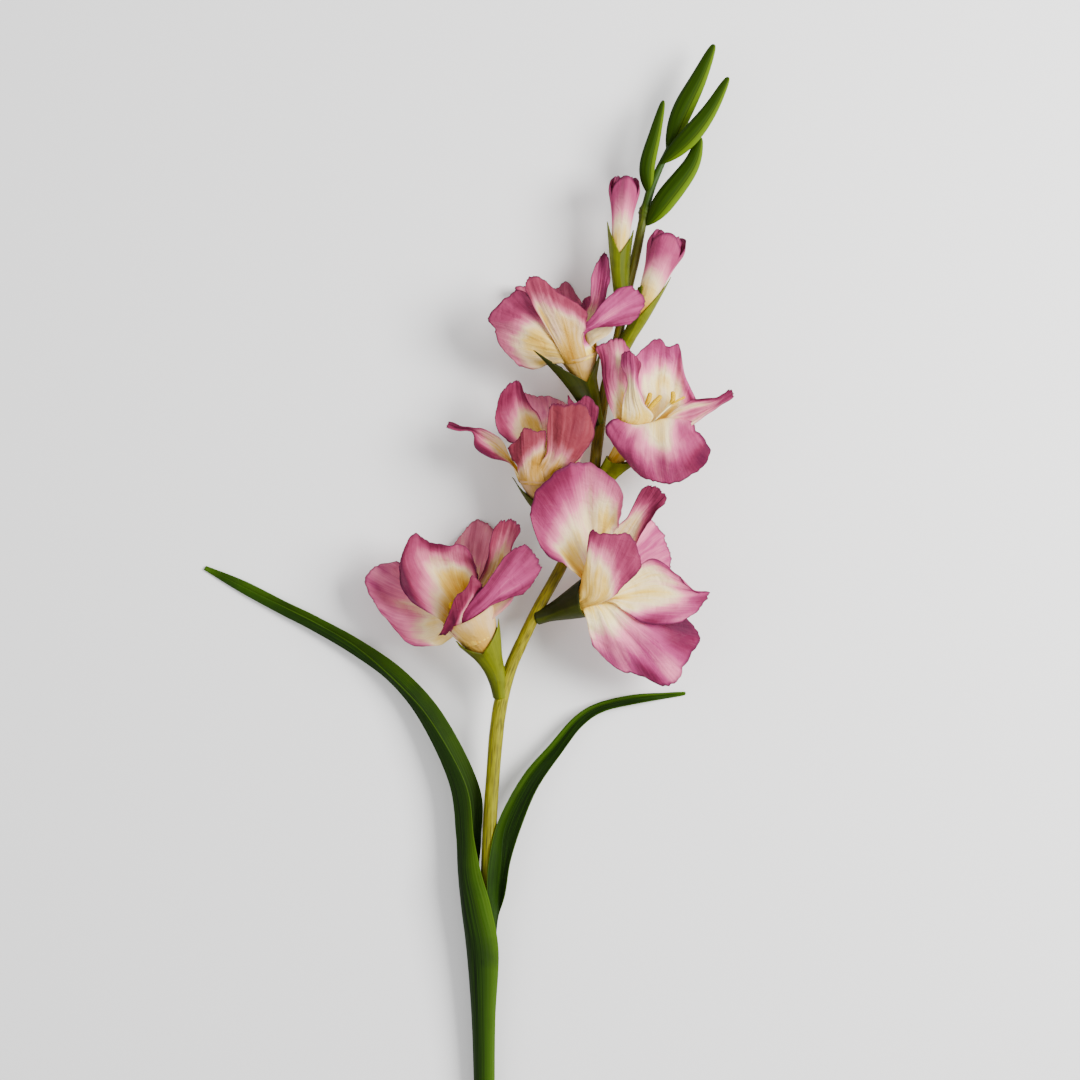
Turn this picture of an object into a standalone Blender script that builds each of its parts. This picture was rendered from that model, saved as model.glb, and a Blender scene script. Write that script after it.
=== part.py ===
"""Cut gladiolus, one flower spike lying on a table. Metres, +Z up.

The spike lies along +Y, and its blooms open to both sides and upwards. It rests on a flat spot
under the cut end, which is the origin, on its low back tepals and on the tips of its leaves.
Sizes below are in millimetres.
"""

import math

import bmesh
import bpy
from mathutils import Vector

MM = 0.001
CLEARANCE = 0.3  # gap between neighbouring pieces
TEPAL_THICKNESS = 0.75
BRACT_THICKNESS = 0.8
LEAF_THICKNESS = 0.9
TUBE_THICKNESS = 0.9
TUBE_SIDES = 10
BRACT_SIDES = 12
BRACT_ROOM = 1.1  # between the tube and its bracts

# The stem's axis from the cut end to the top bud: x, y, height and radius
STEM_PATH = (
    (0.0, -3.0, 4.3, 5.0),
    (0.0, 73.0, 10.0, 4.9),
    (0.0, 143.0, 14.5, 4.9),
    (2.0, 225.0, 19.5, 4.9),
    (5.3, 283.0, 23.0, 4.9),
    (9.5, 328.0, 25.6, 5.0),
    (16.8, 358.0, 27.2, 4.6),
    (26.6, 381.0, 28.2, 4.2),
    (38.5, 405.0, 28.8, 4.1),
    (53.9, 433.0, 29.0, 3.9),
    (66.0, 460.0, 29.0, 3.9),
    (74.5, 487.0, 29.0, 3.9),
    (79.0, 520.0, 29.0, 4.0),
    (84.5, 557.0, 29.0, 3.8),
    (93.0, 592.0, 29.0, 3.4),
    (99.5, 624.0, 29.0, 3.3),
    (106.0, 652.0, 29.0, 3.3),
    (111.0, 676.0, 29.0, 3.2),
    (117.0, 699.0, 29.0, 2.9),
    (129.5, 727.0, 29.0, 2.0),
)
STEM_STEPS = 28
STEM_KNOT = (680.0, 5.0, 1.2)  # y, half length and height of the swelling above the opening buds

SECTION_POINTS = 9  # points of a leaf's cross-section

# Foliage, tepal and stem colours as linear RGB with roughness
COLOURS = {
    "stem": ((0.30, 0.29, 0.06), 0.5),
    "leaf": ((0.020, 0.065, 0.008), 0.45),
    "tepal": ((0.55, 0.17, 0.33), 0.5),
    "bract": ((0.16, 0.19, 0.025), 0.5),
    "bud": ((0.05, 0.14, 0.012), 0.45),
    "stamen": ((0.80, 0.58, 0.05), 0.6),
}


def start_collection(name):
    """A new collection in the scene."""
    group = bpy.data.collections.new(name)
    bpy.context.scene.collection.children.link(group)
    return group


def paint(obj, finish):
    """Gives obj a Principled material of its own."""
    colour, roughness = COLOURS[finish]
    material = bpy.data.materials.new(f"{obj.name}_{finish}")
    material.use_nodes = True
    shader = material.node_tree.nodes["Principled BSDF"]
    shader.inputs["Base Color"].default_value = (*colour, 1.0)
    shader.inputs["Roughness"].default_value = roughness
    shader.inputs["Metallic"].default_value = 0.0
    obj.data.materials.clear()
    obj.data.materials.append(material)


def through(points, t):
    """The point at t, from 0 to 1, of a smooth curve that passes through the points."""
    last = len(points) - 1
    i = min(int(t * last), last - 1)
    f = t * last - i
    here, there = Vector(points[i]), Vector(points[i + 1])
    before = Vector(points[i - 1]) if i else 2 * here - there
    after = Vector(points[i + 2]) if i + 2 <= last else 2 * there - here
    bend = 2 * before - 5 * here + 4 * there - after
    turn = 3 * here - before - 3 * there + after
    return 0.5 * (2 * here + (there - before) * f + bend * f * f + turn * f**3)


def heading(points, t):
    """The direction of that curve at t."""
    step = 0.01
    a = through(points, max(t - step, 0.0))
    b = through(points, min(t + step, 1.0))
    return (b.xyz - a.xyz).normalized()


def add_mesh(name, work, group):
    """Turns a bmesh in millimetres into a mesh object in metres."""
    bmesh.ops.scale(work, vec=(MM, MM, MM), verts=work.verts)
    mesh = bpy.data.meshes.new(name)
    work.to_mesh(mesh)
    work.free()
    mesh.shade_smooth()
    obj = bpy.data.objects.new(name, mesh)
    group.objects.link(obj)
    return obj


def applied(obj):
    """Applies obj's modifiers."""
    graph = bpy.context.evaluated_depsgraph_get()
    mesh = bpy.data.meshes.new_from_object(obj.evaluated_get(graph))
    obj.modifiers.clear()
    obj.data = mesh
    return obj


def remove(obj):
    """Removes a helper object with its mesh."""
    mesh = obj.data
    bpy.data.objects.remove(obj)
    bpy.data.meshes.remove(mesh)


def keep_main_body(obj):
    """Drops loose scraps and sealed pockets, so that the largest shell is left, and cleans its edges."""
    work = bmesh.new()
    work.from_mesh(obj.data)
    bmesh.ops.remove_doubles(work, verts=work.verts, dist=2e-6)
    bmesh.ops.dissolve_degenerate(work, edges=work.edges, dist=2e-6)
    bmesh.ops.triangulate(work, faces=work.faces)
    waiting = set(work.faces)
    shells = []
    while waiting:
        shell = [waiting.pop()]
        front = list(shell)
        while front:
            face = front.pop()
            for edge in face.edges:
                for other in edge.link_faces:
                    if other in waiting:
                        waiting.discard(other)
                        shell.append(other)
                        front.append(other)
        shells.append(shell)
    shells.sort(key=len)
    scraps = [face for shell in shells[:-1] for face in shell]
    bmesh.ops.delete(work, geom=scraps, context="FACES")
    work.to_mesh(obj.data)
    work.free()


def boolean(obj, operation, other):
    """Cuts obj with an object, or joins a collection's objects to it, and applies the result."""
    tool = obj.modifiers.new(operation.lower(), "BOOLEAN")
    tool.operation = operation
    tool.solver = "MANIFOLD"
    if isinstance(other, bpy.types.Collection):
        tool.operand_type = "COLLECTION"
        tool.collection = other
    else:
        tool.object = other
    return applied(obj)


def sheet(name, across, along, place, thickness, group, closed_round=False):
    """A blade: a grid bent by place(u, v), u from foot to tip and v from -1 to 1, with a thickness."""
    work = bmesh.new()
    bmesh.ops.create_grid(work, x_segments=across, y_segments=along, size=1.0)
    for vert in work.verts:
        vert.co = place((vert.co.y + 1.0) / 2.0, vert.co.x)
    if closed_round:
        bmesh.ops.remove_doubles(work, verts=work.verts, dist=0.02)
    bmesh.ops.triangulate(work, faces=work.faces)
    obj = add_mesh(name, work, group)
    wall = obj.modifiers.new("thickness", "SOLIDIFY")
    wall.thickness = thickness * MM
    wall.offset = 0.0
    return applied(obj)


def stem_radius(point):
    """The stem's radius, with the swelling at the knot."""
    y, half, height = STEM_KNOT
    near = max(0.0, 1.0 - abs(point.y - y) / half)
    return point.w + height * near * near * (3 - 2 * near)


def rest_on_table(work):
    """Cuts what reaches below the table, so that the cut end rests on a small flat spot."""
    geometry = [*work.verts, *work.edges, *work.faces]
    cut = bmesh.ops.bisect_plane(work, geom=geometry, plane_no=(0, 0, 1), clear_inner=True)
    rim = [part for part in cut["geom_cut"] if isinstance(part, bmesh.types.BMEdge)]
    bmesh.ops.contextual_create(work, geom=rim)
    bmesh.ops.triangulate(work, faces=work.faces)


def make_stem(name, group, extra=0.0, sink=0.0):
    """The stalk as a tapered tube. extra widens it and sink lengthens it, for a clearance cutter."""
    curve = bpy.data.curves.new(name, "CURVE")
    curve.dimensions = "3D"
    curve.bevel_depth = MM
    curve.bevel_resolution = 3
    curve.use_fill_caps = True
    spline = curve.splines.new("POLY")
    spline.points.add(STEM_STEPS)
    for i, node in enumerate(spline.points):
        point = through(STEM_PATH, i / STEM_STEPS)
        node.co = (*(point.xyz * MM), 1.0)
        node.radius = stem_radius(point) + extra
    last, before = spline.points[-1], spline.points[-2]
    last.co.xyz += (last.co.xyz - before.co.xyz).normalized() * sink * MM
    path = bpy.data.objects.new(name + "_path", curve)
    group.objects.link(path)
    graph = bpy.context.evaluated_depsgraph_get()
    mesh = bpy.data.meshes.new_from_object(path.evaluated_get(graph))
    work = bmesh.new()
    work.from_mesh(mesh)
    bmesh.ops.remove_doubles(work, verts=work.verts, dist=1e-6)
    rest_on_table(work)
    work.to_mesh(mesh)
    work.free()
    mesh.name = name
    obj = bpy.data.objects.new(name, mesh)
    obj.matrix_world = path.matrix_world
    group.objects.link(obj)
    bpy.data.objects.remove(path)
    bpy.data.curves.remove(curve)
    return obj


def on_stem(y):
    """The point of the stem's axis at the distance y from the cut."""
    low, high = 0.0, 1.0
    for _ in range(30):
        middle = (low + high) / 2
        if through(STEM_PATH, middle).y < y:
            low = middle
        else:
            high = middle
    return through(STEM_PATH, low).xyz


class Flower:
    """The axis of a bloom, from inside the stem through the tube to the throat, and its funnel."""

    def __init__(self, foot_y, bend, throat, mouth):
        self.path = [on_stem(foot_y), Vector(bend), Vector(throat)]
        self.throat = Vector(throat)
        self.mouth = mouth

    def radius(self, s):
        """The radius of the funnel's wall at s, from 0 at the stem to 1 at the throat."""
        neck = 3.2
        return neck + (self.mouth - neck) * max(0.0, s) ** 1.7

    def ring(self, s, angle, radius, towards):
        """A point round the axis; the angle starts at the direction towards."""
        axis = heading(self.path, s)
        first = (towards - towards.dot(axis) * axis).normalized()
        second = axis.cross(first)
        centre = through(self.path, s)
        return centre + radius * (math.cos(angle) * first + math.sin(angle) * second)


def make_tube(name, flower, group):
    """The funnel of a bloom, from its foot at the stem to a rim below the throat."""
    rim = 0.83

    def place(u, v):
        s = rim * u
        close = min(1.0, u * 12.0)
        return flower.ring(s, math.pi * v, flower.radius(s) * close, Vector((0, 0, 1)))

    return sheet(name, TUBE_SIDES, 4, place, TUBE_THICKNESS, group, closed_round=True)


def make_tepal(name, flower, left, middle, right, ruffle, group):
    """A tepal through three ribs, with its claw in the funnel's wall and waved margins."""
    foot, half_angle = 0.8, math.radians(33)
    waves, across, along = 2.5, 6, 6
    ribs = [[flower.throat + Vector(p) for p in rib] for rib in (left, middle, right)]
    axis = heading(flower.path, foot)
    outward = ribs[1][0] - through(flower.path, foot)
    side = ribs[2][0] - ribs[0][0]
    turn = 1.0 if axis.cross(outward).dot(side) > 0 else -1.0
    for k, rib in enumerate(ribs):
        angle = turn * half_angle * (k - 1)
        rib.insert(0, flower.ring(foot, angle, flower.radius(foot), outward))

    def rounded(u, v):
        return u * (1.0 - 0.22 * u * u * v**4)

    def flat(u, v):
        a, m, b = (through(rib, u) for rib in ribs)
        return a * (v * (v - 1) / 2) + m * (1 - v * v) + b * (v * (v + 1) / 2)

    def place(u, v):
        s = rounded(u, v)
        step = 0.02
        du = flat(min(s + step, 1.0), v) - flat(max(s - step, 0.0), v)
        dv = flat(s, min(v + step, 1.0)) - flat(s, max(v - step, -1.0))
        normal = du.cross(dv).normalized()
        phase = 1.3 if v < 0 else 3.9
        wave = math.sin(2 * math.pi * waves * s + phase)
        return flat(s, v) + normal * (ruffle * wave * abs(v) ** 2.5 * s)

    return sheet(name, across, along, place, TEPAL_THICKNESS, group)


def make_bloom(name, flower, tepals, ruffle, group, stem_room):
    """Six tepals on their tube, joined as one body and cut clear of the stem."""
    joined = start_collection(name + "_tepals")
    for i, (left, middle, right) in enumerate(tepals):
        make_tepal(f"{name}_tepal_{i}", flower, left, middle, right, ruffle, joined)
    obj = make_tube(name, flower, group)
    boolean(obj, "UNION", joined)
    for tepal in list(joined.objects):
        remove(tepal)
    bpy.data.collections.remove(joined)
    boolean(obj, "DIFFERENCE", stem_room)
    keep_main_body(obj)
    paint(obj, "tepal")
    return obj


def make_bracts(name, flower, towards, tips, notch, flare, group, stem_room):
    """Two pointed green valves grown together round the foot of the tube."""
    walls = (TUBE_THICKNESS + BRACT_THICKNESS) / 2
    towards = Vector(towards)

    def place(u, v):
        near = abs(v)
        tip = tips[0] if near < 0.5 else tips[1]
        top = notch + (tip - notch) * abs(1.0 - 2.0 * near) ** 0.8
        s = top * u
        close = min(1.0, u * 14.0)
        spread = flare * max(0.0, (s - 0.5 * notch) / (tip - 0.5 * notch)) ** 1.6
        radius = (flower.radius(s) + walls + BRACT_ROOM) / math.cos(math.pi / BRACT_SIDES)
        return flower.ring(s, math.pi * v, (radius + spread) * close, towards)

    obj = sheet(name, BRACT_SIDES, 4, place, BRACT_THICKNESS, group, closed_round=True)
    boolean(obj, "DIFFERENCE", stem_room)
    keep_main_body(obj)
    paint(obj, "bract")
    return obj


def make_bud(name, path, radius, flat, group, stem_room):
    """A shut bud: a spindle with a pointed tip and a low keel, along a bent axis."""
    work = bmesh.new()
    bmesh.ops.create_uvsphere(work, u_segments=8, v_segments=9, radius=1.0)
    points = [Vector(p) for p in path]
    for vert in work.verts:
        polar = math.acos(max(-1.0, min(1.0, -vert.co.z)))
        s = (1 - math.cos(polar)) / 2
        angle = math.atan2(vert.co.y, vert.co.x)
        girth = radius * math.sin(math.pi * s**0.72) ** 0.8 * (1 - 0.25 * s)
        keel = 1.0 + 0.10 * max(0.0, math.cos(2 * angle)) ** 6
        axis = heading(points, s)
        up = Vector((0, 0, 1))
        first = (up - up.dot(axis) * axis).normalized()
        second = axis.cross(first)
        ring = math.cos(angle) * first * flat + math.sin(angle) * second
        vert.co = through(points, s) + girth * keel * ring
    bmesh.ops.triangulate(work, faces=work.faces)
    obj = add_mesh(name, work, group)
    boolean(obj, "DIFFERENCE", stem_room)
    keep_main_body(obj)
    paint(obj, "bud")
    return obj


def make_opening_bud(name, flower, mouth, group, stem_room):
    """A bud about to open: rolled tepals as one tube with a lobed, slightly flared mouth."""

    def place(u, v):
        lobes = 0.5 + 0.5 * math.cos(3 * math.pi * v)
        s = u * (0.93 + 0.07 * lobes)
        close = min(1.0, u * 12.0)
        waist = flower.radius(s)
        lip = mouth * max(0.0, s - 0.8) ** 1.5 * 10 * (0.4 + 0.6 * lobes)
        fold = 0.5 * max(0.0, s - 0.5) * math.cos(6 * math.pi * v)
        return flower.ring(s, math.pi * v, (waist + lip + fold) * close, Vector((0, 0, 1)))

    obj = sheet(name, 12, 6, place, TEPAL_THICKNESS, group, closed_round=True)
    boolean(obj, "DIFFERENCE", stem_room)
    keep_main_body(obj)
    paint(obj, "tepal")
    return obj


def rod(name, path, radii, sides, group):
    """A tapered rod along a smooth path, closed at both ends."""
    work = bmesh.new()
    steps = 3
    bmesh.ops.create_cone(
        work, cap_ends=True, segments=sides, radius1=1.0, radius2=1.0, depth=1.0
    )
    ends = [edge for edge in work.edges if abs(edge.verts[0].co.z - edge.verts[1].co.z) > 0.5]
    bmesh.ops.subdivide_edges(work, edges=ends, cuts=steps - 1, use_grid_fill=True)
    points = [Vector(p) for p in path]
    for vert in work.verts:
        s = vert.co.z + 0.5
        angle = math.atan2(vert.co.y, vert.co.x)
        axis = heading(points, s)
        up = Vector((0.1, 0.2, 1.0))
        first = (up - up.dot(axis) * axis).normalized()
        second = axis.cross(first)
        radius = through([Vector((r, 0, 0)) for r in radii], s).x
        ring = math.cos(angle) * first + math.sin(angle) * second
        vert.co = through(points, s) + radius * ring
    bmesh.ops.triangulate(work, faces=work.faces)
    return add_mesh(name, work, group)


def make_stamens(name, flower, reach, lean, group):
    """Three stamens and the style, which stand on one foot in the neck of the tube."""
    base, split, sides = 0.47, 0.7, 6
    thin = sides // 2
    axis = heading(flower.path, 0.9)
    foot = through(flower.path, base)
    fork = through(flower.path, split)
    lean = Vector(lean)
    side = axis.cross(lean).normalized()
    joined = start_collection(name + "_filaments")
    for i, spread in enumerate((-1.0, 0.0, 1.0)):
        end = flower.throat + axis * reach + side * spread * 4.0 + lean
        half = fork.lerp(end, 0.5) + side * spread
        path = (fork - axis * 2.0, half, end)
        rod(f"{name}_{i}", path, (0.55, 0.55, 1.0), thin, joined)
    tip = flower.throat + axis * (reach + 3.0) - lean * 0.3
    rod(f"{name}_style", (fork - axis * 2.0, fork.lerp(tip, 0.5), tip), (0.55, 0.5, 0.9), thin, joined)
    inside = flower.radius(base) * math.cos(math.pi / TUBE_SIDES) - TUBE_THICKNESS / 2
    seat = inside - 2 * CLEARANCE
    obj = rod(name, (foot, foot.lerp(fork, 0.5), fork), (seat, 1.4, 1.2), sides, group)
    boolean(obj, "UNION", joined)
    for filament in list(joined.objects):
        remove(filament)
    bpy.data.collections.remove(joined)
    keep_main_body(obj)
    paint(obj, "stamen")
    return obj


def make_leaf(name, stations, along, wave, group):
    """A leaf through its cross-sections, each from the front edge over the keel to the back edge."""
    columns = [[Vector(station[k]) for station in stations] for k in range(SECTION_POINTS)]

    def place(u, v):
        row = [through(column, u) for column in columns]
        point = through(row, (v + 1) / 2)
        ripple = wave * math.sin(2 * math.pi * 7 * u + 2 * v) * v * v
        blade = max(0.0, min(1.0, (u - 0.45) * 5)) * min(1.0, (1 - u) * 6)
        return point + Vector((0, 0, ripple * blade))

    obj = sheet(name, SECTION_POINTS - 1, along, place, LEAF_THICKNESS, group)
    paint(obj, "leaf")
    return obj


def arc(x, y, z, width, depth, start, end):
    """A sheath's section round the stem; angles in degrees from +X towards +Z."""
    points = []
    for k in range(SECTION_POINTS):
        angle = math.radians(start + (end - start) * k / (SECTION_POINTS - 1))
        points.append((x + width * math.cos(angle), y, z + depth * math.sin(angle)))
    return points


def fold(front, keel, back, bulge=0.8):
    """A folded blade's section: two slightly bulging halves that meet at the keel."""
    half = SECTION_POINTS // 2
    front, keel, back = Vector(front), Vector(keel), Vector(back)
    lift = [bulge * math.sin(math.pi * k / half) for k in range(half + 1)]
    near = [front.lerp(keel, k / half) + Vector((0, 0, lift[k])) for k in range(half)]
    far = [keel.lerp(back, k / half) - Vector((0, 0, lift[k])) for k in range(half + 1)]
    return near + far


# The left leaf: a sheath round the stem, then a blade folded along its keel, which bends left
LEFT_STATIONS = (
    arc(-0.5, 42.0, 8.3, 6.9, 6.9, 15, 345),
    arc(-1.2, 110.0, 12.5, 8.2, 7.6, 15, 345),
    arc(-1.6, 160.0, 15.6, 11.4, 8.8, 20, 340),
    arc(-3.4, 192.0, 17.8, 13.4, 9.4, 55, 300),
    arc(-5.2, 217.0, 19.2, 14.0, 8.8, 80, 275),
    fold((-8.0, 241.5, 26.5), (-20.5, 243.5, 19.5), (-3.0, 240.5, 13.5)),
    fold((-13.5, 278.5, 25.5), (-25.5, 280.0, 19.0), (-4.0, 276.0, 14.0)),
    fold((-37.0, 321.5, 20.5), (-45.5, 322.5, 14.0), (-28.5, 325.5, 11.0)),
    fold((-60.0, 348.0, 15.5), (-67.0, 350.0, 10.0), (-56.0, 357.0, 8.0)),
    fold((-89.0, 373.5, 11.0), (-94.0, 370.0, 7.0), (-88.0, 379.5, 5.5)),
    fold((-117.0, 390.5, 8.0), (-123.0, 387.0, 5.0), (-118.5, 396.0, 3.6)),
    fold((-141.0, 402.5, 5.5), (-146.5, 399.0, 3.0), (-141.5, 407.0, 2.2)),
    fold((-170.0, 416.5, 3.0), (-174.0, 414.0, 1.6), (-170.5, 421.5, 1.2)),
    fold((-199.0, 431.5, 0.8), (-200.0, 430.0, 0.7), (-198.5, 432.5, 0.7), 0.1),
)

# The right leaf: its foot lies round the stem inside the sheath, then a channel that bends right
RIGHT_STATIONS = (
    arc(0.4, 150.0, 14.9, 6.0, 6.0, 95, -60),
    arc(0.8, 175.0, 16.5, 6.9, 6.4, 95, -45),
    fold((1.0, 200.0, 25.2), (9.0, 200.0, 17.0), (13.5, 200.0, 21.0), 1.4),
    fold((2.5, 225.0, 27.0), (11.0, 224.0, 17.5), (17.5, 224.0, 21.5), 1.2),
    fold((9.0, 252.5, 25.0), (14.5, 249.5, 15.5), (25.0, 248.0, 20.5)),
    fold((26.0, 284.0, 19.5), (30.0, 280.5, 13.0), (36.5, 275.5, 17.5)),
    fold((45.5, 306.5, 15.5), (49.0, 304.0, 10.0), (54.0, 301.0, 14.0)),
    fold((63.0, 326.0, 12.0), (65.0, 323.0, 7.5), (68.0, 319.0, 11.0)),
    fold((79.5, 335.5, 8.5), (80.5, 332.5, 5.0), (82.5, 329.0, 7.5)),
    fold((103.5, 341.0, 5.5), (103.5, 338.0, 3.0), (104.5, 334.5, 4.6)),
    fold((128.0, 342.5, 2.2), (128.0, 341.0, 1.2), (128.0, 338.5, 1.8)),
    fold((141.5, 343.2, 0.8), (142.0, 342.0, 0.7), (141.5, 340.8, 0.8), 0.1),
)

# Where each bloom leaves the stem, the bend of its tube, its throat and its funnel's mouth
BLOOM_AXES = {
    "lower_left": Flower(338.0, (7.0, 361.0, 31.0), (-14.7, 404.6, 42.0), 17.0),
    "lower_right": Flower(396.0, (50.0, 400.5, 33.0), (73.5, 408.8, 50.0), 10.0),
    "middle_left": Flower(446.0, (46.0, 474.0, 32.0), (40.6, 513.8, 42.0), 19.0),
    "middle_right": Flower(478.0, (90.0, 506.0, 32.0), (114.1, 532.0, 46.0), 13.0),
    "upper_left": Flower(530.0, (71.0, 561.0, 32.0), (61.6, 595.0, 42.0), 19.0),
}

# Ribs of the six tepals of each bloom, from near the throat to the tip: left margin, middle and
# right margin, as steps from the throat
TEPALS = {
    "lower_left": (
        (  # outer left
            ((-6, -15, -4), (-34, -26, -8), (-66, -8, -14)),
            ((-11, -7, -8), (-41, -3, -14), (-72, 18, -16)),
            ((-17, 4, -10), (-41, 24, -16), (-62, 44, -18)),
        ),
        (  # upper left
            ((-12, -8, 0), (-41, 10, 4), (-48, 35, 4)),
            ((-8, 1, -8), (-24, 22, -4), (-36, 50, 2)),
            ((6, 15, -6), (1, 35, -2), (-20, 50, 0)),
        ),
        (  # back
            ((0, 11, -10), (-12, 32, -24), (-14, 56, -37.7)),
            ((6, 15, -12), (9, 36, -26), (8, 60, -41.7)),
            ((12, 13, -10), (24, 35, -24), (32, 55, -37.7)),
        ),
        (  # narrow, upper right
            ((7, 8, -2), (16, 29, 2), (20, 61, 2)),
            ((11, 8, -6), (23, 30, -4), (32, 60, 0)),
            ((16, 7, -4), (30, 34, -2), (50, 66, 2)),
        ),
        (  # right, folded out
            ((-2, -9, 12), (18, 25, 18), (41, 54, 15)),
            ((4, -12, 11), (25, 15, 15), (53, 32, 9)),
            ((6, -17, 8), (25, 4, 9), (54, 19, 3)),
        ),
        (  # front, rising
            ((-12, -17, 6), (-15, -20, 12), (-17, -22, 17)),
            ((2, -10, 10), (-1, -5, 19), (-6, 3, 27)),
            ((10, 2, 8), (12, 10, 15), (7, 20, 20)),
        ),
    ),
    "lower_right": (
        (  # large, upper left
            ((-21, 22, 0), (-43, 52, 2), (-41, 84, 4)),
            ((-9, 34, -4), (-11, 62, 0), (-10, 97, 6)),
            ((1, 28, 0), (18, 56, 2), (22, 85, 2)),
        ),
        (  # narrow, upper right
            ((10, 24, -4), (24, 55, -4), (39, 83, 0)),
            ((15, 27, -2), (33, 55, 2), (49, 80, 2)),
            ((20, 24, -4), (39, 49, -4), (55, 71, 0)),
        ),
        (  # front, standing
            ((-7, 5, 6), (-5, 28, 14), (2, 58, 18)),
            ((3, 6, 4), (10, 27, 12), (20, 46, 18)),
            ((11, 2, 6), (27, 15, 10), (42, 36, 14)),
        ),
        (  # right back, down to the table
            ((14, 20, -12), (32, 39, -30), (46, 57, -47.7)),
            ((18, 15, -12), (41, 28, -32), (56, 39, -49.7)),
            ((21, 11, -12), (42, 15, -30), (60, 20, -47.7)),
        ),
        (  # right
            ((10, 6, 0), (41, 25, 4), (71, 14, 0)),
            ((11, 0, -3), (46, 3, 0), (82, 1, -2)),
            ((11, -6, 2), (41, -16, 8), (73, -14, 2)),
        ),
        (  # lower lip
            ((-4, -7, 2), (1, -33, 0), (22, -56, -18)),
            ((4, -8, 0), (27, -28, 4), (57, -57, -14)),
            ((12, -5, 2), (54, -14, -2), (92, -34, -16)),
        ),
    ),
    "middle_left": (
        (  # narrow, rolled, to the left
            ((-24, 0, 0), (-37, 14, 6), (-50, 14, 3), (-69, 20, 2)),
            ((-26, -5, -2), (-44, 10, -2), (-51, 13, -1), (-69, 18, 0)),
            ((-26, -10, 0), (-43, 1, 4), (-51, 10, 3), (-69, 15, 2)),
        ),
        (  # upper left
            ((-20, 3, 0), (-34, 21, 2), (-29, 45, 2)),
            ((-13, 7, -4), (-24, 27, -6), (-22, 48, 0)),
            ((-2, 14, -2), (-10, 29, -2), (-16, 47, 2)),
        ),
        (  # back, down to the table
            ((-10, 13, -12), (-15, 29, -26), (-16, 42, -40.7)),
            ((2, 15, -14), (1, 32, -28), (1, 41, -41.7)),
            ((13, 13, -12), (18, 29, -26), (20, 39, -40.7)),
        ),
        (  # large, right front
            ((1, -7, 14), (1, 14, 16), (4, 34, 14)),
            ((10, -7, 13), (20, 14, 20), (20, 34, 16)),
            ((20, -8, 6), (35, 13, 12), (34, 32, 12)),
        ),
        (  # front
            ((-18, -10, 9), (-25, 1, 13), (-16, 16, 16)),
            ((-9, -10, 13), (-9, 3, 18), (-7, 18, 20)),
            ((1, -8, 13), (3, 6, 17), (2, 17, 18)),
        ),
        (  # small, upper right
            ((18, 7, -4), (23, 27, 0), (27, 38, 2)),
            ((22, 4, -4), (32, 24, 0), (36, 38, 2)),
            ((25, 0, -4), (36, 18, 0), (40, 32, 2)),
        ),
    ),
    "middle_right": (
        (  # upper back
            ((-2, 17, -4), (-7, 36, -6), (-6, 55, -10)),
            ((8, 18, -8), (10, 41, -10), (9, 61, -12)),
            ((21, 14, -4), (28, 26, -6), (26, 50, -10)),
        ),
        (  # outer left
            ((-24, 0, 4), (-32, 25, 6), (-39, 56, 4)),
            ((-18, 4, 0), (-24, 31, 0), (-26, 60, 0)),
            ((-11, 8, -2), (-15, 34, 2), (-13, 55, 2)),
        ),
        (  # inner left, standing
            ((-18, -4, 6), (-17, 20, 16), (-20, 43, 18)),
            ((-10, -3, 4), (-10, 22, 12), (-12, 48, 16)),
            ((1, -1, 6), (-3, 20, 14), (-5, 41, 18)),
        ),
        (  # narrow, rolled, to the right
            ((14, 3, 4), (32, 17, 8), (49, 17, 9), (57, 23, 12)),
            ((14, -1, 0), (35, 11, 2), (52, 15, 5), (60, 21, 10)),
            ((14, -7, 4), (35, 1, 8), (53, 12, 9), (62, 18, 12)),
        ),
        (  # lower lip
            ((-22, -1, 6), (-31, -13, 5), (-14, -34, -6)),
            ((-2, -4, 8), (3, -24, 10), (13, -41, -5)),
            ((24, -1, 6), (41, -10, 4), (45, -30, -8)),
        ),
        (  # under the lip, down to the table
            ((-6, -11, -12), (-2, -18, -30), (3, -22, -44.8)),
            ((5, -12, -13), (11, -17, -31), (17, -21, -45.8)),
            ((14, -8, -12), (22, -13, -30), (29, -18, -44.8)),
        ),
    ),
    "upper_left": (
        (  # large, left
            ((-9, -18, 6), (-36, -25, 6), (-53, -10, 0)),
            ((-15, -8, 8), (-36, -1, 14), (-60, 11, 4)),
            ((-15, 4, 4), (-30, 24, 10), (-47, 31, 6)),
        ),
        (  # front
            ((-12, -4, 10), (-30, 22, 12), (-45, 52, 12)),
            ((-4, -1, 14), (-14, 22, 19), (-23, 38, 16)),
            ((7, 1, 13), (12, 19, 14), (1, 35, 13)),
        ),
        (  # back, down to the table
            ((-9, 11, -12), (-15, 24, -26), (-17, 35, -40.7)),
            ((-2, 13, -14), (-5, 25, -28), (-5, 38, -41.7)),
            ((5, 11, -12), (6, 22, -26), (6, 32, -40.7)),
        ),
        (  # narrow, upright
            ((8, 6, -4), (12, 27, -8), (13, 50, -14)),
            ((10, 6, -6), (17, 28, -12), (21, 57, -16)),
            ((15, 6, -4), (23, 27, -8), (28, 49, -14)),
        ),
        (  # right, folded out
            ((8, 1, 8), (19, 23, 13), (36, 40, 8)),
            ((10, -2, 9), (26, 15, 15), (48, 22, 9)),
            ((11, -6, 8), (23, 4, 9), (46, 8, 6)),
        ),
        (  # small, right back
            ((4, 8, -8), (9, 18, -18), (12, 25, -28)),
            ((8, 7, -10), (15, 15, -20), (19, 22, -30)),
            ((12, 4, -8), (19, 11, -18), (25, 17, -28)),
        ),
    ),
}

RUFFLE = {
    "lower_left": 1.6,
    "lower_right": 1.8,
    "middle_left": 1.0,
    "middle_right": 1.4,
    "upper_left": 1.2,
}

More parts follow.
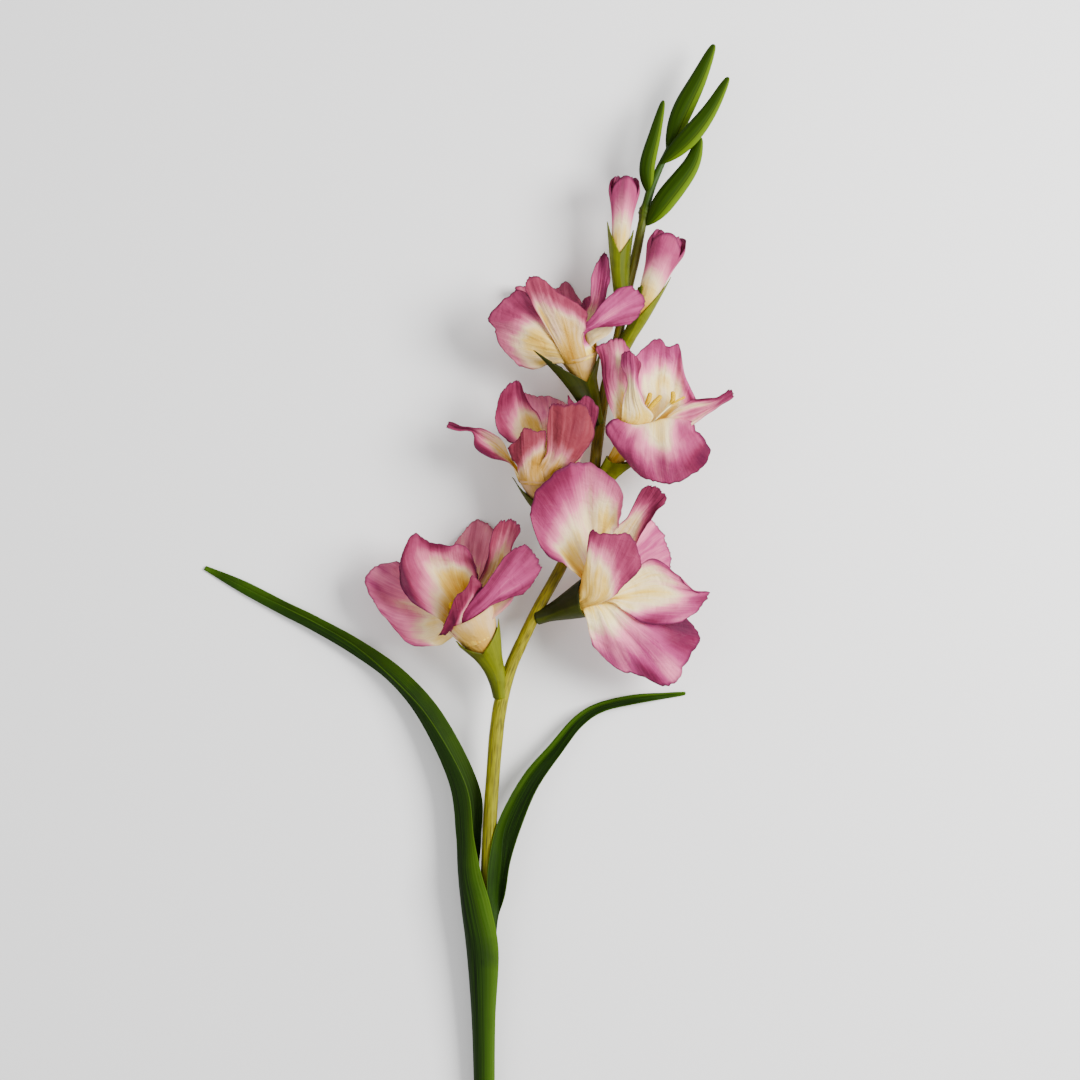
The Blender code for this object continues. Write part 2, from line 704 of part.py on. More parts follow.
# Each pair of bracts: where the first valve points, how far up the tube the two tips reach, how
# high the notch between them is, and how far the tips stand off
BRACTS = {
    "lower_left": ((-1.0, -0.2, 0.1), (0.70, 0.78), 0.54, 3.0),
    "lower_right": ((0.0, 1.0, 0.2), (0.78, 0.74), 0.60, 1.5),
    "middle_left": ((-1.0, 0.0, 0.2), (0.72, 0.62), 0.48, 3.0),
    "middle_right": ((-0.6, 1.0, 0.0), (0.62, 0.68), 0.48, 3.0),
    "upper_left": ((-1.0, -0.1, 0.1), (0.78, 0.76), 0.50, 5.0),
}

# Length past the throat and lean of the stamens
STAMENS = {
    "lower_left": (2.0, (0, 3, -2)),
    "lower_right": (-6.0, (1, 0, 1)),
    "middle_left": (-2.0, (0, 1, -2)),
    "middle_right": (9.0, (2, 5, 0)),
    "upper_left": (-2.0, (0, 1, -2)),
}

OPENING_BUDS = {
    "left": Flower(612.0, (94.0, 645.0, 37.0), (98.5, 704.0, 38.0), 9.0),
    "right": Flower(572.0, (108.0, 607.0, 36.0), (130.0, 664.0, 40.0), 10.0),
}
OPENING_BRACTS = {
    "left": ((-1.0, 0.0, 0.0), (0.70, 0.64), 0.50, 1.2),
    "right": ((1.0, -0.5, 0.0), (0.66, 0.45), 0.40, 1.5),
}
OPENING_MOUTH = {"left": 2.0, "right": 4.0}

# Shut buds: axis from the stem to the tip, largest radius and flattening
GREEN_BUDS = {
    "lower_right": (
        ((113.0, 671.0, 31.0), (127.0, 690.0, 34.0), (144.0, 713.0, 33.0), (151.2, 733.6, 28.5)),
        8.4,
        0.75,
    ),
    "left": (
        ((114.5, 693.0, 29.0), (113.5, 712.0, 33.0), (119.0, 735.0, 34.0), (125.0, 759.0, 32.0)),
        6.0,
        0.8,
    ),
    "right": (
        ((123.0, 714.0, 33.0), (142.0, 732.0, 37.0), (157.0, 751.0, 37.0), (170.5, 775.0, 34.0)),
        7.4,
        0.7,
    ),
    "top": (
        ((129.0, 728.0, 28.5), (138.0, 751.0, 26.0), (150.0, 775.0, 26.5), (160.8, 799.0, 27.0)),
        8.0,
        0.7,
    ),
}


for leftover in list(bpy.data.objects):
    bpy.data.objects.remove(leftover)
flower_spike = start_collection("cut_gladiolus")
cutters = start_collection("cutters")

stem = make_stem("stem", flower_spike)
paint(stem, "stem")
stem_room = make_stem("stem_room", cutters, extra=CLEARANCE, sink=CLEARANCE)

make_leaf("leaf_left", LEFT_STATIONS, 25, 0.8, flower_spike)
make_leaf("leaf_right", RIGHT_STATIONS, 20, 0.8, flower_spike)

for place_name, flower in BLOOM_AXES.items():
    tepals = TEPALS[place_name]
    make_bloom(f"bloom_{place_name}", flower, tepals, RUFFLE[place_name], flower_spike, stem_room)
    towards, tips, notch, flare = BRACTS[place_name]
    make_bracts(f"bracts_{place_name}", flower, towards, tips, notch, flare, flower_spike, stem_room)
    reach, lean = STAMENS[place_name]
    make_stamens(f"stamens_{place_name}", flower, reach, lean, flower_spike)

for side, flower in OPENING_BUDS.items():
    make_opening_bud(f"opening_bud_{side}", flower, OPENING_MOUTH[side], flower_spike, stem_room)
    towards, tips, notch, flare = OPENING_BRACTS[side]
    make_bracts(f"bracts_opening_{side}", flower, towards, tips, notch, flare, flower_spike, stem_room)

for side, (path, radius, flat) in GREEN_BUDS.items():
    make_bud(f"green_bud_{side}", path, radius, flat, flower_spike, stem_room)

remove(stem_room)
bpy.data.collections.remove(cutters)
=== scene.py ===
"""The looks of the cut gladiolus: a flower spike that lies on a pale table, seen from above.

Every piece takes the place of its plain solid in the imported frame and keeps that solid's form.
Shapes are in millimetres. The table, the lights and the reliefs of materials are in metres.
"""

import math

import bmesh
import bpy
import numpy as np
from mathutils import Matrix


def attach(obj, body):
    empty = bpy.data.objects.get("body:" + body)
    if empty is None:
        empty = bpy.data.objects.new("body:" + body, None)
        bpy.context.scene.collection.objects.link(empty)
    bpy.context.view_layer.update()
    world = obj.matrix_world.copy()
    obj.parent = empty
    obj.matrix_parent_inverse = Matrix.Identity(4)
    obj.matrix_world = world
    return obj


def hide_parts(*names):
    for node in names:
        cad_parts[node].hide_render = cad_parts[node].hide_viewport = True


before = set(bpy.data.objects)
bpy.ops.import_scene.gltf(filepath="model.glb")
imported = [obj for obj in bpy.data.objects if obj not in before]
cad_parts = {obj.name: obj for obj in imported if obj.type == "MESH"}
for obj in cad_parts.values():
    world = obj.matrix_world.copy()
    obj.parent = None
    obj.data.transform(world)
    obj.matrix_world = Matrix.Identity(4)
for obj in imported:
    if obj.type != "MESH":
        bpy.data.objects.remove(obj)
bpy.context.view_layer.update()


# Table, light and camera
# A matt pale board, one large soft window light from the right and a weaker one from the left.
# The photograph looks straight at the spike, so the camera looks straight down at it.
MM = 0.001
VIEW_MIDDLE = (38.5, 450.8)  # what the middle of the picture shows
VIEW_HEIGHT = 2520.0  # of the camera over the petals
VIEW_LEVEL = 35.0  # of the petals, where the scale is 0.7 mm for each pixel
LENS, SENSOR = 120.0, 36.0  # a long lens, since the outlines show hardly any perspective
TABLE_COLOUR = "E9E8E7"
TABLE_HALF, TABLE_LEVEL = 3.0, -0.0005  # in metres; it lies just under the flower
SKY_COLOUR, SKY_STRENGTH = "F4F5F7", 0.95
LIGHT_AIM = (0.04, 0.45, 0.03)  # the middle of the blooms, in metres

# Name of each lamp, its place and width in metres, and its power in watts
LAMPS = (
    ("window", (1.3, 0.75, 1.25), 0.9, 78.0),
    ("fill", (-1.3, 0.1, 1.7), 1.6, 12.0),
)


def linear(colour):
    """A linear RGBA colour from its sRGB hex value."""
    channels = [int(colour[i : i + 2], 16) / 255 for i in (0, 2, 4)]
    return [c / 12.92 if c <= 0.04045 else ((c + 0.055) / 1.055) ** 2.4 for c in channels] + [1.0]


def start_material(name):
    """An empty node material and its tree."""
    material = bpy.data.materials.new(name)
    material.use_nodes = True
    material.node_tree.nodes.clear()
    return material, material.node_tree


def add(tree, kind, inputs=None, stops=None, **settings):
    """Adds a shader node. An input is a value or a node's output; stops are a ramp's colours."""
    node = tree.nodes.new("ShaderNode" + kind)
    for name, value in settings.items():
        setattr(node, name, value)
    for socket, value in (inputs or {}).items():
        if isinstance(value, bpy.types.NodeSocket):
            tree.links.new(value, node.inputs[socket])
        else:
            node.inputs[socket].default_value = value
    if stops:
        ramp = node.color_ramp.elements
        ramp.remove(ramp[1])
        ramp[0].position = stops[0][0]
        ramp[0].color = linear(stops[0][1])
        for place, colour in stops[1:]:
            ramp.new(place).color = linear(colour)
    return node


camera_data = bpy.data.cameras.new("camera")
camera_data.lens = LENS
camera_data.sensor_width = SENSOR
camera = bpy.data.objects.new("camera", camera_data)
camera.location = (VIEW_MIDDLE[0] * MM, VIEW_MIDDLE[1] * MM, (VIEW_LEVEL + VIEW_HEIGHT) * MM)
bpy.context.scene.collection.objects.link(camera)
bpy.context.scene.camera = camera

board_mesh = bmesh.new()
bmesh.ops.create_grid(board_mesh, x_segments=1, y_segments=1, size=TABLE_HALF)
board_data = bpy.data.meshes.new("table")
board_mesh.to_mesh(board_data)
board_mesh.free()
board = bpy.data.objects.new("table", board_data)
bpy.context.scene.collection.objects.link(board)
board.location = (VIEW_MIDDLE[0] * MM, VIEW_MIDDLE[1] * MM, TABLE_LEVEL)

# Matt emulsion paint, rolled on: chalky and even, so it takes soft shadows and shows no gloss
board_paint, tree = start_material("table_paint")
shader = add(tree, "BsdfPrincipled", {"Base Color": linear(TABLE_COLOUR), "Roughness": 0.9})
add(tree, "OutputMaterial", {"Surface": shader.outputs[0]})
board_data.materials.append(board_paint)

for name, place, width, power in LAMPS:
    lamp = bpy.data.lights.new(name, "AREA")
    lamp.size = width
    lamp.energy = power
    light = bpy.data.objects.new(name, lamp)
    light.location = place
    aim = np.array(LIGHT_AIM) - np.array(place)
    tilt, turn = math.atan2(math.hypot(*aim[:2]), -aim[2]), math.atan2(-aim[0], aim[1])
    light.rotation_euler = (tilt, 0.0, turn)
    bpy.context.scene.collection.objects.link(light)
sky = bpy.data.worlds.new("sky")
sky.use_nodes = True
sky.node_tree.nodes["Background"].inputs["Color"].default_value = linear(SKY_COLOUR)
sky.node_tree.nodes["Background"].inputs["Strength"].default_value = SKY_STRENGTH
bpy.context.scene.world = sky


# Stem
# One living stalk, slightly winding, olive green with brown fibres and grass green at the top. It
# is widest at the cut, has a scaly knot below the top buds, and carries all the other pieces.
# Each row of its path has x, y and z of its axis, then its radius.
STEM_PATH = np.array((
    (0.0, -3.0, 4.3, 5.0),
    (0.0, 73.0, 10.0, 4.9),
    (0.0, 143.0, 14.5, 4.9),
    (2.0, 225.0, 19.5, 4.9),
    (5.3, 283.0, 23.0, 4.9),
    (9.5, 328.0, 25.6, 5.0),
    (16.8, 358.0, 27.2, 4.6),
    (26.6, 381.0, 28.2, 4.2),
    (38.5, 405.0, 28.8, 4.1),
    (53.9, 433.0, 29.0, 3.9),
    (66.0, 460.0, 29.0, 3.9),
    (74.5, 487.0, 29.0, 3.9),
    (79.0, 520.0, 29.0, 4.0),
    (84.5, 557.0, 29.0, 3.8),
    (93.0, 592.0, 29.0, 3.4),
    (99.5, 624.0, 29.0, 3.3),
    (106.0, 652.0, 29.0, 3.3),
    (111.0, 676.0, 29.0, 3.2),
    (117.0, 699.0, 29.0, 2.9),
    (129.5, 727.0, 29.0, 2.0),
))
STEM_KNOT = (681.0, 6.5, 1.7, 1.9)  # y, half length and height of the knot, turn of its scales
STEM_GRID = (40, 480)  # cells round it and along it
STEM_RIBS, STEM_RIB = 11, 0.08  # number and height of its shallow ribs
STEM_WAVER = 0.1  # how much its radius wanders
CUT_END = 0.004  # share of the stem's rows that close its two ends
TABLE_GAP = 0.02  # least height of its skin over the table


def through(points, t):
    """Points at t, 0 to 1, of a smooth curve through the points, or of one curve for each t."""
    points = np.asarray(points, float)
    if points.ndim == 1:
        points = points[:, None]
    t = np.atleast_1d(np.asarray(t, float))
    last = len(points) - 1
    i = np.clip((t * last).astype(int), 0, last - 1)
    f = (t * last - i)[:, None]
    longer = np.concatenate([2 * points[:1] - points[1:2], points, 2 * points[-1:] - points[-2:-1]])
    if points.ndim == 3:
        a, b, c, d = (longer[i + k, np.arange(len(t))] for k in range(4))
    else:
        a, b, c, d = (longer[i + k] for k in range(4))
    bent, twisted = 2 * a - 5 * b + 4 * c - d, 3 * b - a - 3 * c + d
    return 0.5 * (2 * b + (c - a) * f + bent * f**2 + twisted * f**3)


def unit(vectors):
    """The vectors at length 1."""
    return vectors / np.maximum(np.linalg.norm(vectors, axis=-1, keepdims=True), 1e-9)


def heading(path, t):
    """The direction of a curve at t."""
    step = 0.01
    ahead = through(path, np.minimum(t + step, 1.0))
    behind = through(path, np.maximum(t - step, 0.0))
    return unit((ahead - behind)[:, :3])


def ring(path, t, angle, radius, towards=(0, 0, 1)):
    """Points round a curve at t; the angle starts at the direction towards."""
    axis = heading(path, t)
    towards = np.broadcast_to(np.asarray(towards, float), axis.shape)
    first = unit(towards - (towards * axis).sum(1)[:, None] * axis)
    second = np.cross(axis, first)
    around = np.cos(angle)[:, None] * first + np.sin(angle)[:, None] * second
    return through(path, t)[:, :3] + np.reshape(radius, (-1, 1)) * around


def smooth(value, low, high):
    """0 below low, 1 above high, with a soft step between."""
    f = np.clip((value - low) / (high - low), 0.0, 1.0)
    return f * f * (3 - 2 * f)


def wander(x, seed, waves=5):
    """A smooth random line through x, about -1 to 1, made from a few sine waves."""
    dice = np.random.RandomState(seed)
    total = 0.0
    for k in range(1, waves + 1):
        total = total + np.sin(2 * math.pi * k * x + dice.uniform(0, 2 * math.pi)) / k**0.6
    return total / 2.2


def add_sheet(work, across, along, bend, tint=None):
    """Adds a grid to a bmesh and bends it: u runs from foot to tip, v from -1 to 1 across.

    Its UV map holds (v, u) as 0 to 1, and tint(u, v) gives a colour attribute for its material.
    """
    work.loops.layers.uv.get("lay") or work.loops.layers.uv.new("lay")
    layer = work.verts.layers.float_color.get("tint") or work.verts.layers.float_color.new("tint")
    grid = bmesh.ops.create_grid(work, x_segments=across, y_segments=along, size=1.0, calc_uvs=True)
    flat = np.array([vert.co.xy for vert in grid["verts"]])
    u, v = (flat[:, 1] + 1) / 2, flat[:, 0]
    places = bend(u, v) * MM
    tints = tint(u, v) if tint else np.zeros((len(u), 4))
    for vert, place, colour in zip(grid["verts"], places, tints):
        vert.co = place
        vert[layer] = colour


def make_piece(name, work, material, node, wall=0.0):
    """Turns a bmesh into a finished piece that takes a plain solid's place; wall is a sheet's."""
    bmesh.ops.remove_doubles(work, verts=work.verts, dist=1e-6)
    bmesh.ops.recalc_face_normals(work, faces=work.faces)
    mesh = bpy.data.meshes.new(name)
    work.to_mesh(mesh)
    work.free()
    mesh.shade_smooth()
    mesh.materials.append(material)
    piece = bpy.data.objects.new(name, mesh)
    bpy.context.scene.collection.objects.link(piece)
    if wall:
        thickness = piece.modifiers.new("thickness", "SOLIDIFY")
        thickness.thickness = wall * MM
        thickness.offset = 0.0
    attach(piece, "root")
    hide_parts(node)


def start_skin(name, streaks, detail=3.0):
    """A plant skin's material and tree, the piece's UV map, and streaks along the piece."""
    material, tree = start_material(name)
    lay = add(tree, "UVMap", uv_map="lay")
    drawn = add(tree, "Mapping", {0: lay.outputs[0], "Scale": streaks})
    streak = add(tree, "TexNoise", {0: drawn.outputs[0], "Scale": 1.0, "Detail": detail})
    return material, tree, lay.outputs[0], streak.outputs[0]


def add_patches(tree, scale, detail=3.0):
    """A blotchy pattern through the whole piece, with so many patches to the metre."""
    spot = add(tree, "TexCoord")
    patch = add(tree, "TexNoise", {0: spot.outputs["Object"], "Scale": scale, "Detail": detail})
    return patch.outputs[0]


def glaze(tree, below, colour, pattern, start, stop, most):
    """Lays a colour over the one below, from none where a pattern is at start to most at stop."""
    share = add(tree, "MapRange", {0: pattern, 1: start, 2: stop, 3: 0.0, 4: most})
    both = add(tree, "Mix", {0: share.outputs[0], 6: below, 7: colour}, data_type="RGBA")
    return both.outputs[2]


def finish_skin(tree, colour, relief, strength, depth, surface):
    """Ends a skin's material with its colour, its relief's pattern and height, and its gloss."""
    rise = add(tree, "Bump", {"Height": relief, "Strength": strength, "Distance": depth})
    shader = add(tree, "BsdfPrincipled", {"Base Color": colour, "Normal": rise.outputs[0], **surface})
    add(tree, "OutputMaterial", {"Surface": shader.outputs[0]})


def stem_bend(u, v):
    """The stalk's skin, with shallow ribs along it and the knot under the top buds."""
    t = np.clip((u - CUT_END) / (1 - 2 * CUT_END), 0, 1)
    spot = through(STEM_PATH, t)
    y, half, height, turn = STEM_KNOT
    near = np.clip(1.0 - np.abs(spot[:, 1] - y) / half, 0, 1)
    scales = 0.8 + 0.2 * np.cos(turn * spot[:, 1] + 2 * math.pi * v)
    radius = spot[:, 3] + height * near * near * (3 - 2 * near) * scales
    ribs = np.sin(STEM_RIBS * math.pi * v + 3 * wander(t * 3, 5))
    radius = radius + STEM_RIB * ribs + STEM_WAVER * wander(t * 9, 8)
    close = np.minimum(1.0, np.minimum(u, 1 - u) / CUT_END)
    skin = ring(STEM_PATH, t, math.pi * v, radius * close)
    skin[:, 2] = np.maximum(skin[:, 2], TABLE_GAP)
    return skin


# The skin of a living stalk, grown in fibres under a thin wax: soft gloss, olive with brown fibre
# streaks and dull blotches, so the eye takes it for firm and juicy
STEM_FIBRES = (26.0, 60.0, 1.0)  # 1.2 mm wide and 12.5 mm long, on a skin of 31 by 750 mm
STEM_BLOTCHES = 45.0  # to the metre, so 22 mm each
stem_skin, tree, lay, fibre = start_skin("stem_skin", STEM_FIBRES, 4.0)
side = add(tree, "SeparateXYZ", {0: lay})
green = add(tree, "ValToRGB", {0: side.outputs[1]}, stops=(
    (0.0, "6A6A08"), (0.30, "827E02"), (0.44, "786A06"), (0.55, "6C5A08"), (0.84, "565208"),
    (0.92, "2E4806"), (1.0, "1E3A04"),
))
dark = add(tree, "ValToRGB", {0: side.outputs[1]}, stops=((0.8, "2E270C"), (0.92, "1A3004")))
dull = add(tree, "ValToRGB", {0: side.outputs[1]}, stops=((0.8, "453A12"), (0.92, "2A4206")))
skin = glaze(tree, green.outputs[0], dark.outputs[0], fibre, 0.45, 0.68, 0.75)
skin = glaze(tree, skin, dull.outputs[0], add_patches(tree, STEM_BLOTCHES), 0.5, 0.75, 0.5)
finish_skin(tree, skin, fibre, 0.25, 0.0004, {
    "Roughness": 0.5, "Specular IOR Level": 0.15,
    "Subsurface Weight": 0.06, "Subsurface Scale": 0.002,
})

work = bmesh.new()
add_sheet(work, *STEM_GRID, stem_bend)
make_piece("stem_skin", work, stem_skin, "stem")


# Leaves
# Two stiff parallel-veined leaves. The left one wraps the stalk as a sheath, then folds along its
# keel and bends left. The right one grows inside that sheath and opens into a channel.
LEAF_WALL = 0.6
LEAF_ACROSS = 88  # cells across a leaf, four for each raised vein
LEAF_RIBS, LEAF_RIB = 22, 0.1  # number and height of the raised veins, about 1 mm apart
LEAF_RIPPLES, LEAF_RIPPLE = 7, 0.8  # number and height of the waves along a blade's margins
LEAF_WAVER = 0.5  # how much a margin wanders besides
LEFT_MARK = (0.143, 0.006, -0.525, 0.05)  # a dark mark: place and half size along, then across
SECTION_POINTS = 9


def arc(x, y, z, width, depth, start, end):
    """A sheath's section round the stem; angles in degrees from +X towards +Z."""
    turn = np.radians(np.linspace(start, end, SECTION_POINTS))
    level = np.full(SECTION_POINTS, y)
    return np.stack([x + width * np.cos(turn), level, z + depth * np.sin(turn)], 1)


def fold(front, keel, back, bulge=0.8):
    """A folded blade's section: two slightly bulging halves that meet at the keel."""
    half = SECTION_POINTS // 2
    share = (np.arange(half + 1) / half)[:, None]
    lift = np.sin(math.pi * share) * bulge * np.array([[0, 0, 1]])
    near = np.array(front) * (1 - share) + np.array(keel) * share + lift
    far = np.array(keel) * (1 - share) + np.array(back) * share - lift
    return np.concatenate([near[:-1], far])


LEFT_STATIONS = np.array((
    arc(-0.5, 42.0, 8.3, 6.9, 6.9, 15, 345),
    arc(-1.2, 110.0, 12.5, 8.2, 7.6, 15, 345),
    arc(-1.6, 160.0, 15.6, 11.4, 8.8, 20, 340),
    arc(-3.4, 192.0, 17.8, 13.4, 9.4, 55, 300),
    arc(-5.2, 217.0, 19.2, 14.0, 8.8, 80, 275),
    fold((-8.0, 241.5, 26.5), (-20.5, 243.5, 19.5), (-3.0, 240.5, 13.5)),
    fold((-13.5, 278.5, 25.5), (-25.5, 280.0, 19.0), (-4.0, 276.0, 14.0)),
    fold((-37.0, 321.5, 20.5), (-45.5, 322.5, 14.0), (-28.5, 325.5, 11.0)),
    fold((-60.0, 348.0, 15.5), (-67.0, 350.0, 10.0), (-56.0, 357.0, 8.0)),
    fold((-89.0, 373.5, 11.0), (-94.0, 370.0, 7.0), (-88.0, 379.5, 5.5)),
    fold((-117.0, 390.5, 8.0), (-123.0, 387.0, 5.0), (-118.5, 396.0, 3.6)),
    fold((-141.0, 402.5, 5.5), (-146.5, 399.0, 3.0), (-141.5, 407.0, 2.2)),
    fold((-170.0, 416.5, 3.0), (-174.0, 414.0, 1.6), (-170.5, 421.5, 1.2)),
    fold((-199.0, 431.5, 0.8), (-200.0, 430.0, 0.7), (-198.5, 432.5, 0.7), 0.1),
))
RIGHT_STATIONS = np.array((
    arc(0.4, 150.0, 14.9, 6.0, 6.0, 95, -60),
    arc(0.8, 175.0, 16.5, 6.9, 6.4, 95, -45),
    fold((1.0, 200.0, 25.2), (9.0, 200.0, 17.0), (13.5, 200.0, 21.0), 1.4),
    fold((2.5, 225.0, 27.0), (11.0, 224.0, 17.5), (17.5, 224.0, 21.5), 1.2),
    fold((9.0, 252.5, 25.0), (14.5, 249.5, 15.5), (25.0, 248.0, 20.5)),
    fold((26.0, 284.0, 19.5), (30.0, 280.5, 13.0), (36.5, 275.5, 17.5)),
    fold((45.5, 306.5, 15.5), (49.0, 304.0, 10.0), (54.0, 301.0, 14.0)),
    fold((63.0, 326.0, 12.0), (65.0, 323.0, 7.5), (68.0, 319.0, 11.0)),
    fold((79.5, 335.5, 8.5), (80.5, 332.5, 5.0), (82.5, 329.0, 7.5)),
    fold((103.5, 341.0, 5.5), (103.5, 338.0, 3.0), (104.5, 334.5, 4.6)),
    fold((128.0, 342.5, 2.2), (128.0, 341.0, 1.2), (128.0, 338.5, 1.8)),
    fold((141.5, 343.2, 0.8), (142.0, 342.0, 0.7), (141.5, 340.8, 0.8), 0.1),
))


def leaf_bend(stations, seed):
    """A leaf through its sections, with raised veins along it and gently waved edges."""

    def bend(u, v):
        row = np.array([through(stations[:, k], u) for k in range(SECTION_POINTS)])
        place = through(row, (v + 1) / 2)
        blade = smooth(u, 0.45, 0.65) * np.minimum(1.0, (1 - u) * 6)
        ripple = LEAF_RIPPLE * np.sin(2 * math.pi * LEAF_RIPPLES * u + 2 * v) * v * v
        ripple = ripple + LEAF_WAVER * wander(u * 5, seed) * v**4
        veins = LEAF_RIB * np.cos(math.pi * LEAF_RIBS * v) * np.minimum(1.0, (1 - u) * 8)
        place[:, 2] += ripple * blade + veins
        return place

    return bend


def left_shade_light_and_mark(u, v):
    """Painted shade and painted light on the left leaf's sides, and a real dark mark on its sheath.
    """
    low = 1 - smooth(u, 0.3, 0.5)
    # dark: painted shade on the sheath's left side and across the blade; pale: painted light along
    # the sheath's right edge and towards one margin of the blade
    dark = 0.95 * smooth(v, -0.72, -0.3) * low + 0.25 * smooth(v, -0.7, 0.0) * (1 - low)
    pale = 0.5 * np.exp(-(((v + 1) / 0.3) ** 2)) * low + 0.3 * smooth(v, 0.1, 0.9) * (1 - low)
    up, half, across, side = LEFT_MARK
    mark = np.exp(-(((u - up) / half) ** 2) - ((v - across) / side) ** 2)
    return np.stack([np.maximum(dark, 0.9 * mark), pale, 0 * u, 0 * u], 1)


def right_shade_and_light(u, v):
    """Painted shade on the right leaf's right half, which lies in its own shade, and painted light on
    its lit strip.
    """
    dark = 0.75 * smooth(v, -0.05, 0.12) * (1 - smooth(u, 0.8, 0.97))
    # pale: painted light on the left half, which faces the window light
    pale = 0.4 * np.exp(-(((v + 0.6) / 0.3) ** 2)) * smooth(u, 0.2, 0.6)
    return np.stack([dark, pale, 0 * u, 0 * u], 1)


# The skin of a grass-like leaf, grown tough with parallel veins: deep green, nearly matt, fibrous
# along the leaf, with paler veins and a paler foot and tip; its sides take painted light and painted
# shade, and its margins a thin painted highlight
LEAF_VEINS = (90.0, 6.0, 1.0)  # 0.5 mm wide and 80 mm long, on a leaf of 45 by 480 mm
LEAF_PATCHES = 30.0  # to the metre, so 33 mm each
leaf_blade, tree, lay, vein = start_skin("leaf_blade", LEAF_VEINS)
side = add(tree, "SeparateXYZ", {0: lay})
tint = add(tree, "Attribute", attribute_name="tint")
own = add(tree, "SeparateColor", {0: tint.outputs["Color"]})
green = add(tree, "ValToRGB", {0: side.outputs[1]}, stops=(
    (0.0, "223A03"), (0.12, "162A03"), (0.3, "102002"), (0.5, "0E1E02"), (0.8, "122403"),
    (0.95, "284406"), (1.0, "3C5A08"),
))
# Painted light and painted shade, laid on by the tint attribute's pale and dark channels
pale, shade = linear("4E6E0A"), linear("061002")
light = add(tree, "Mix", {0: own.outputs[1], 6: green.outputs[0], 7: pale}, data_type="RGBA")
dark = add(tree, "Mix", {0: own.outputs[0], 6: light.outputs[2], 7: shade}, data_type="RGBA")
skin = glaze(tree, dark.outputs[2], linear("264404"), vein, 0.42, 0.62, 0.55)
skin = glaze(tree, skin, linear("0E1E04"), add_patches(tree, LEAF_PATCHES), 0.5, 0.7, 0.5)
# A thin painted highlight along both margins, where the edges catch the light
middle = add(tree, "Math", {0: side.outputs[0], 1: 0.5}, operation="SUBTRACT")
edge = add(tree, "Math", {0: middle.outputs[0]}, operation="ABSOLUTE")
skin = glaze(tree, skin, linear("567814"), edge.outputs[0], 0.48, 0.496, 0.25)
finish_skin(tree, skin, vein, 0.4, 0.0004, {"Roughness": 0.6, "Specular IOR Level": 0.07})

for name, stations, rows, seed, tint in (
    ("leaf_left", LEFT_STATIONS, 360, 11, left_shade_light_and_mark),
    ("leaf_right", RIGHT_STATIONS, 240, 12, right_shade_and_light),
):
    work = bmesh.new()
    add_sheet(work, LEAF_ACROSS, rows, leaf_bend(stations, seed), tint)
    make_piece(name + "_blade", work, leaf_blade, name, LEAF_WALL)


# Blooms
# Five open funnel flowers, each of six silky tepals grown together into a tube. They fade from a
# golden throat over cream to mauve, with fine veins along them and a thin dark ruffled margin.
TEPAL_WALL = 0.4
TEPAL_FOOT = 0.76  # share of the tube where the tepals part
TEPAL_HALF_ANGLE = math.radians(38)  # of the tube's wall that the claw of a tepal takes up
TUBE_NECK = 3.2  # radius of a tube at its foot
TUBE_FOOT = 14.0  # one part in so many of a tube closes at its foot
TUBE_FLUTE = 0.02  # height of its six flutes, as a share of the radius
TEPAL_GRID, TUBE_GRID = (44, 56), (48, 36)  # cells across or round, and along
RUFFLES, FRILLS = 2.5, 5.5  # long and short waves along a tepal's margin
PLEAT = 0.6  # height of the soft pleats along a tepal
NIBBLE = 0.014  # how far a margin is uneven, as a share of the tepal
MIDRIB = (0.35, 0.06)  # depth, and half width as a share of half the tepal

# Where each bloom leaves the stem, the bend of its tube, its throat, its bell (the radius at the
# throat and the share of the tube where it starts to widen), the share of the tube up to its rim,
# how much its margins wave, and a seed for its small chances
BLOOMS = {
    "lower_left": (338.0, (7.0, 361.0, 31.0), (-14.7, 404.6, 42.0), (22.0, 0.4), 0.94, 1.2, 21),
    "lower_right": (396.0, (50.0, 400.5, 33.0), (73.5, 408.8, 50.0), (10.0, 0.3), 0.84, 1.2, 22),
    "middle_left": (446.0, (46.0, 474.0, 32.0), (40.6, 513.8, 42.0), (26.0, 0.2), 0.79, 0.8, 23),
    "middle_right": (478.0, (90.0, 506.0, 32.0), (114.1, 532.0, 46.0), (13.0, 0.3), 0.82, 1.0, 24),
    "upper_left": (530.0, (71.0, 561.0, 32.0), (61.6, 595.0, 42.0), (19.0, 0.3), 0.80, 0.9, 25),
}

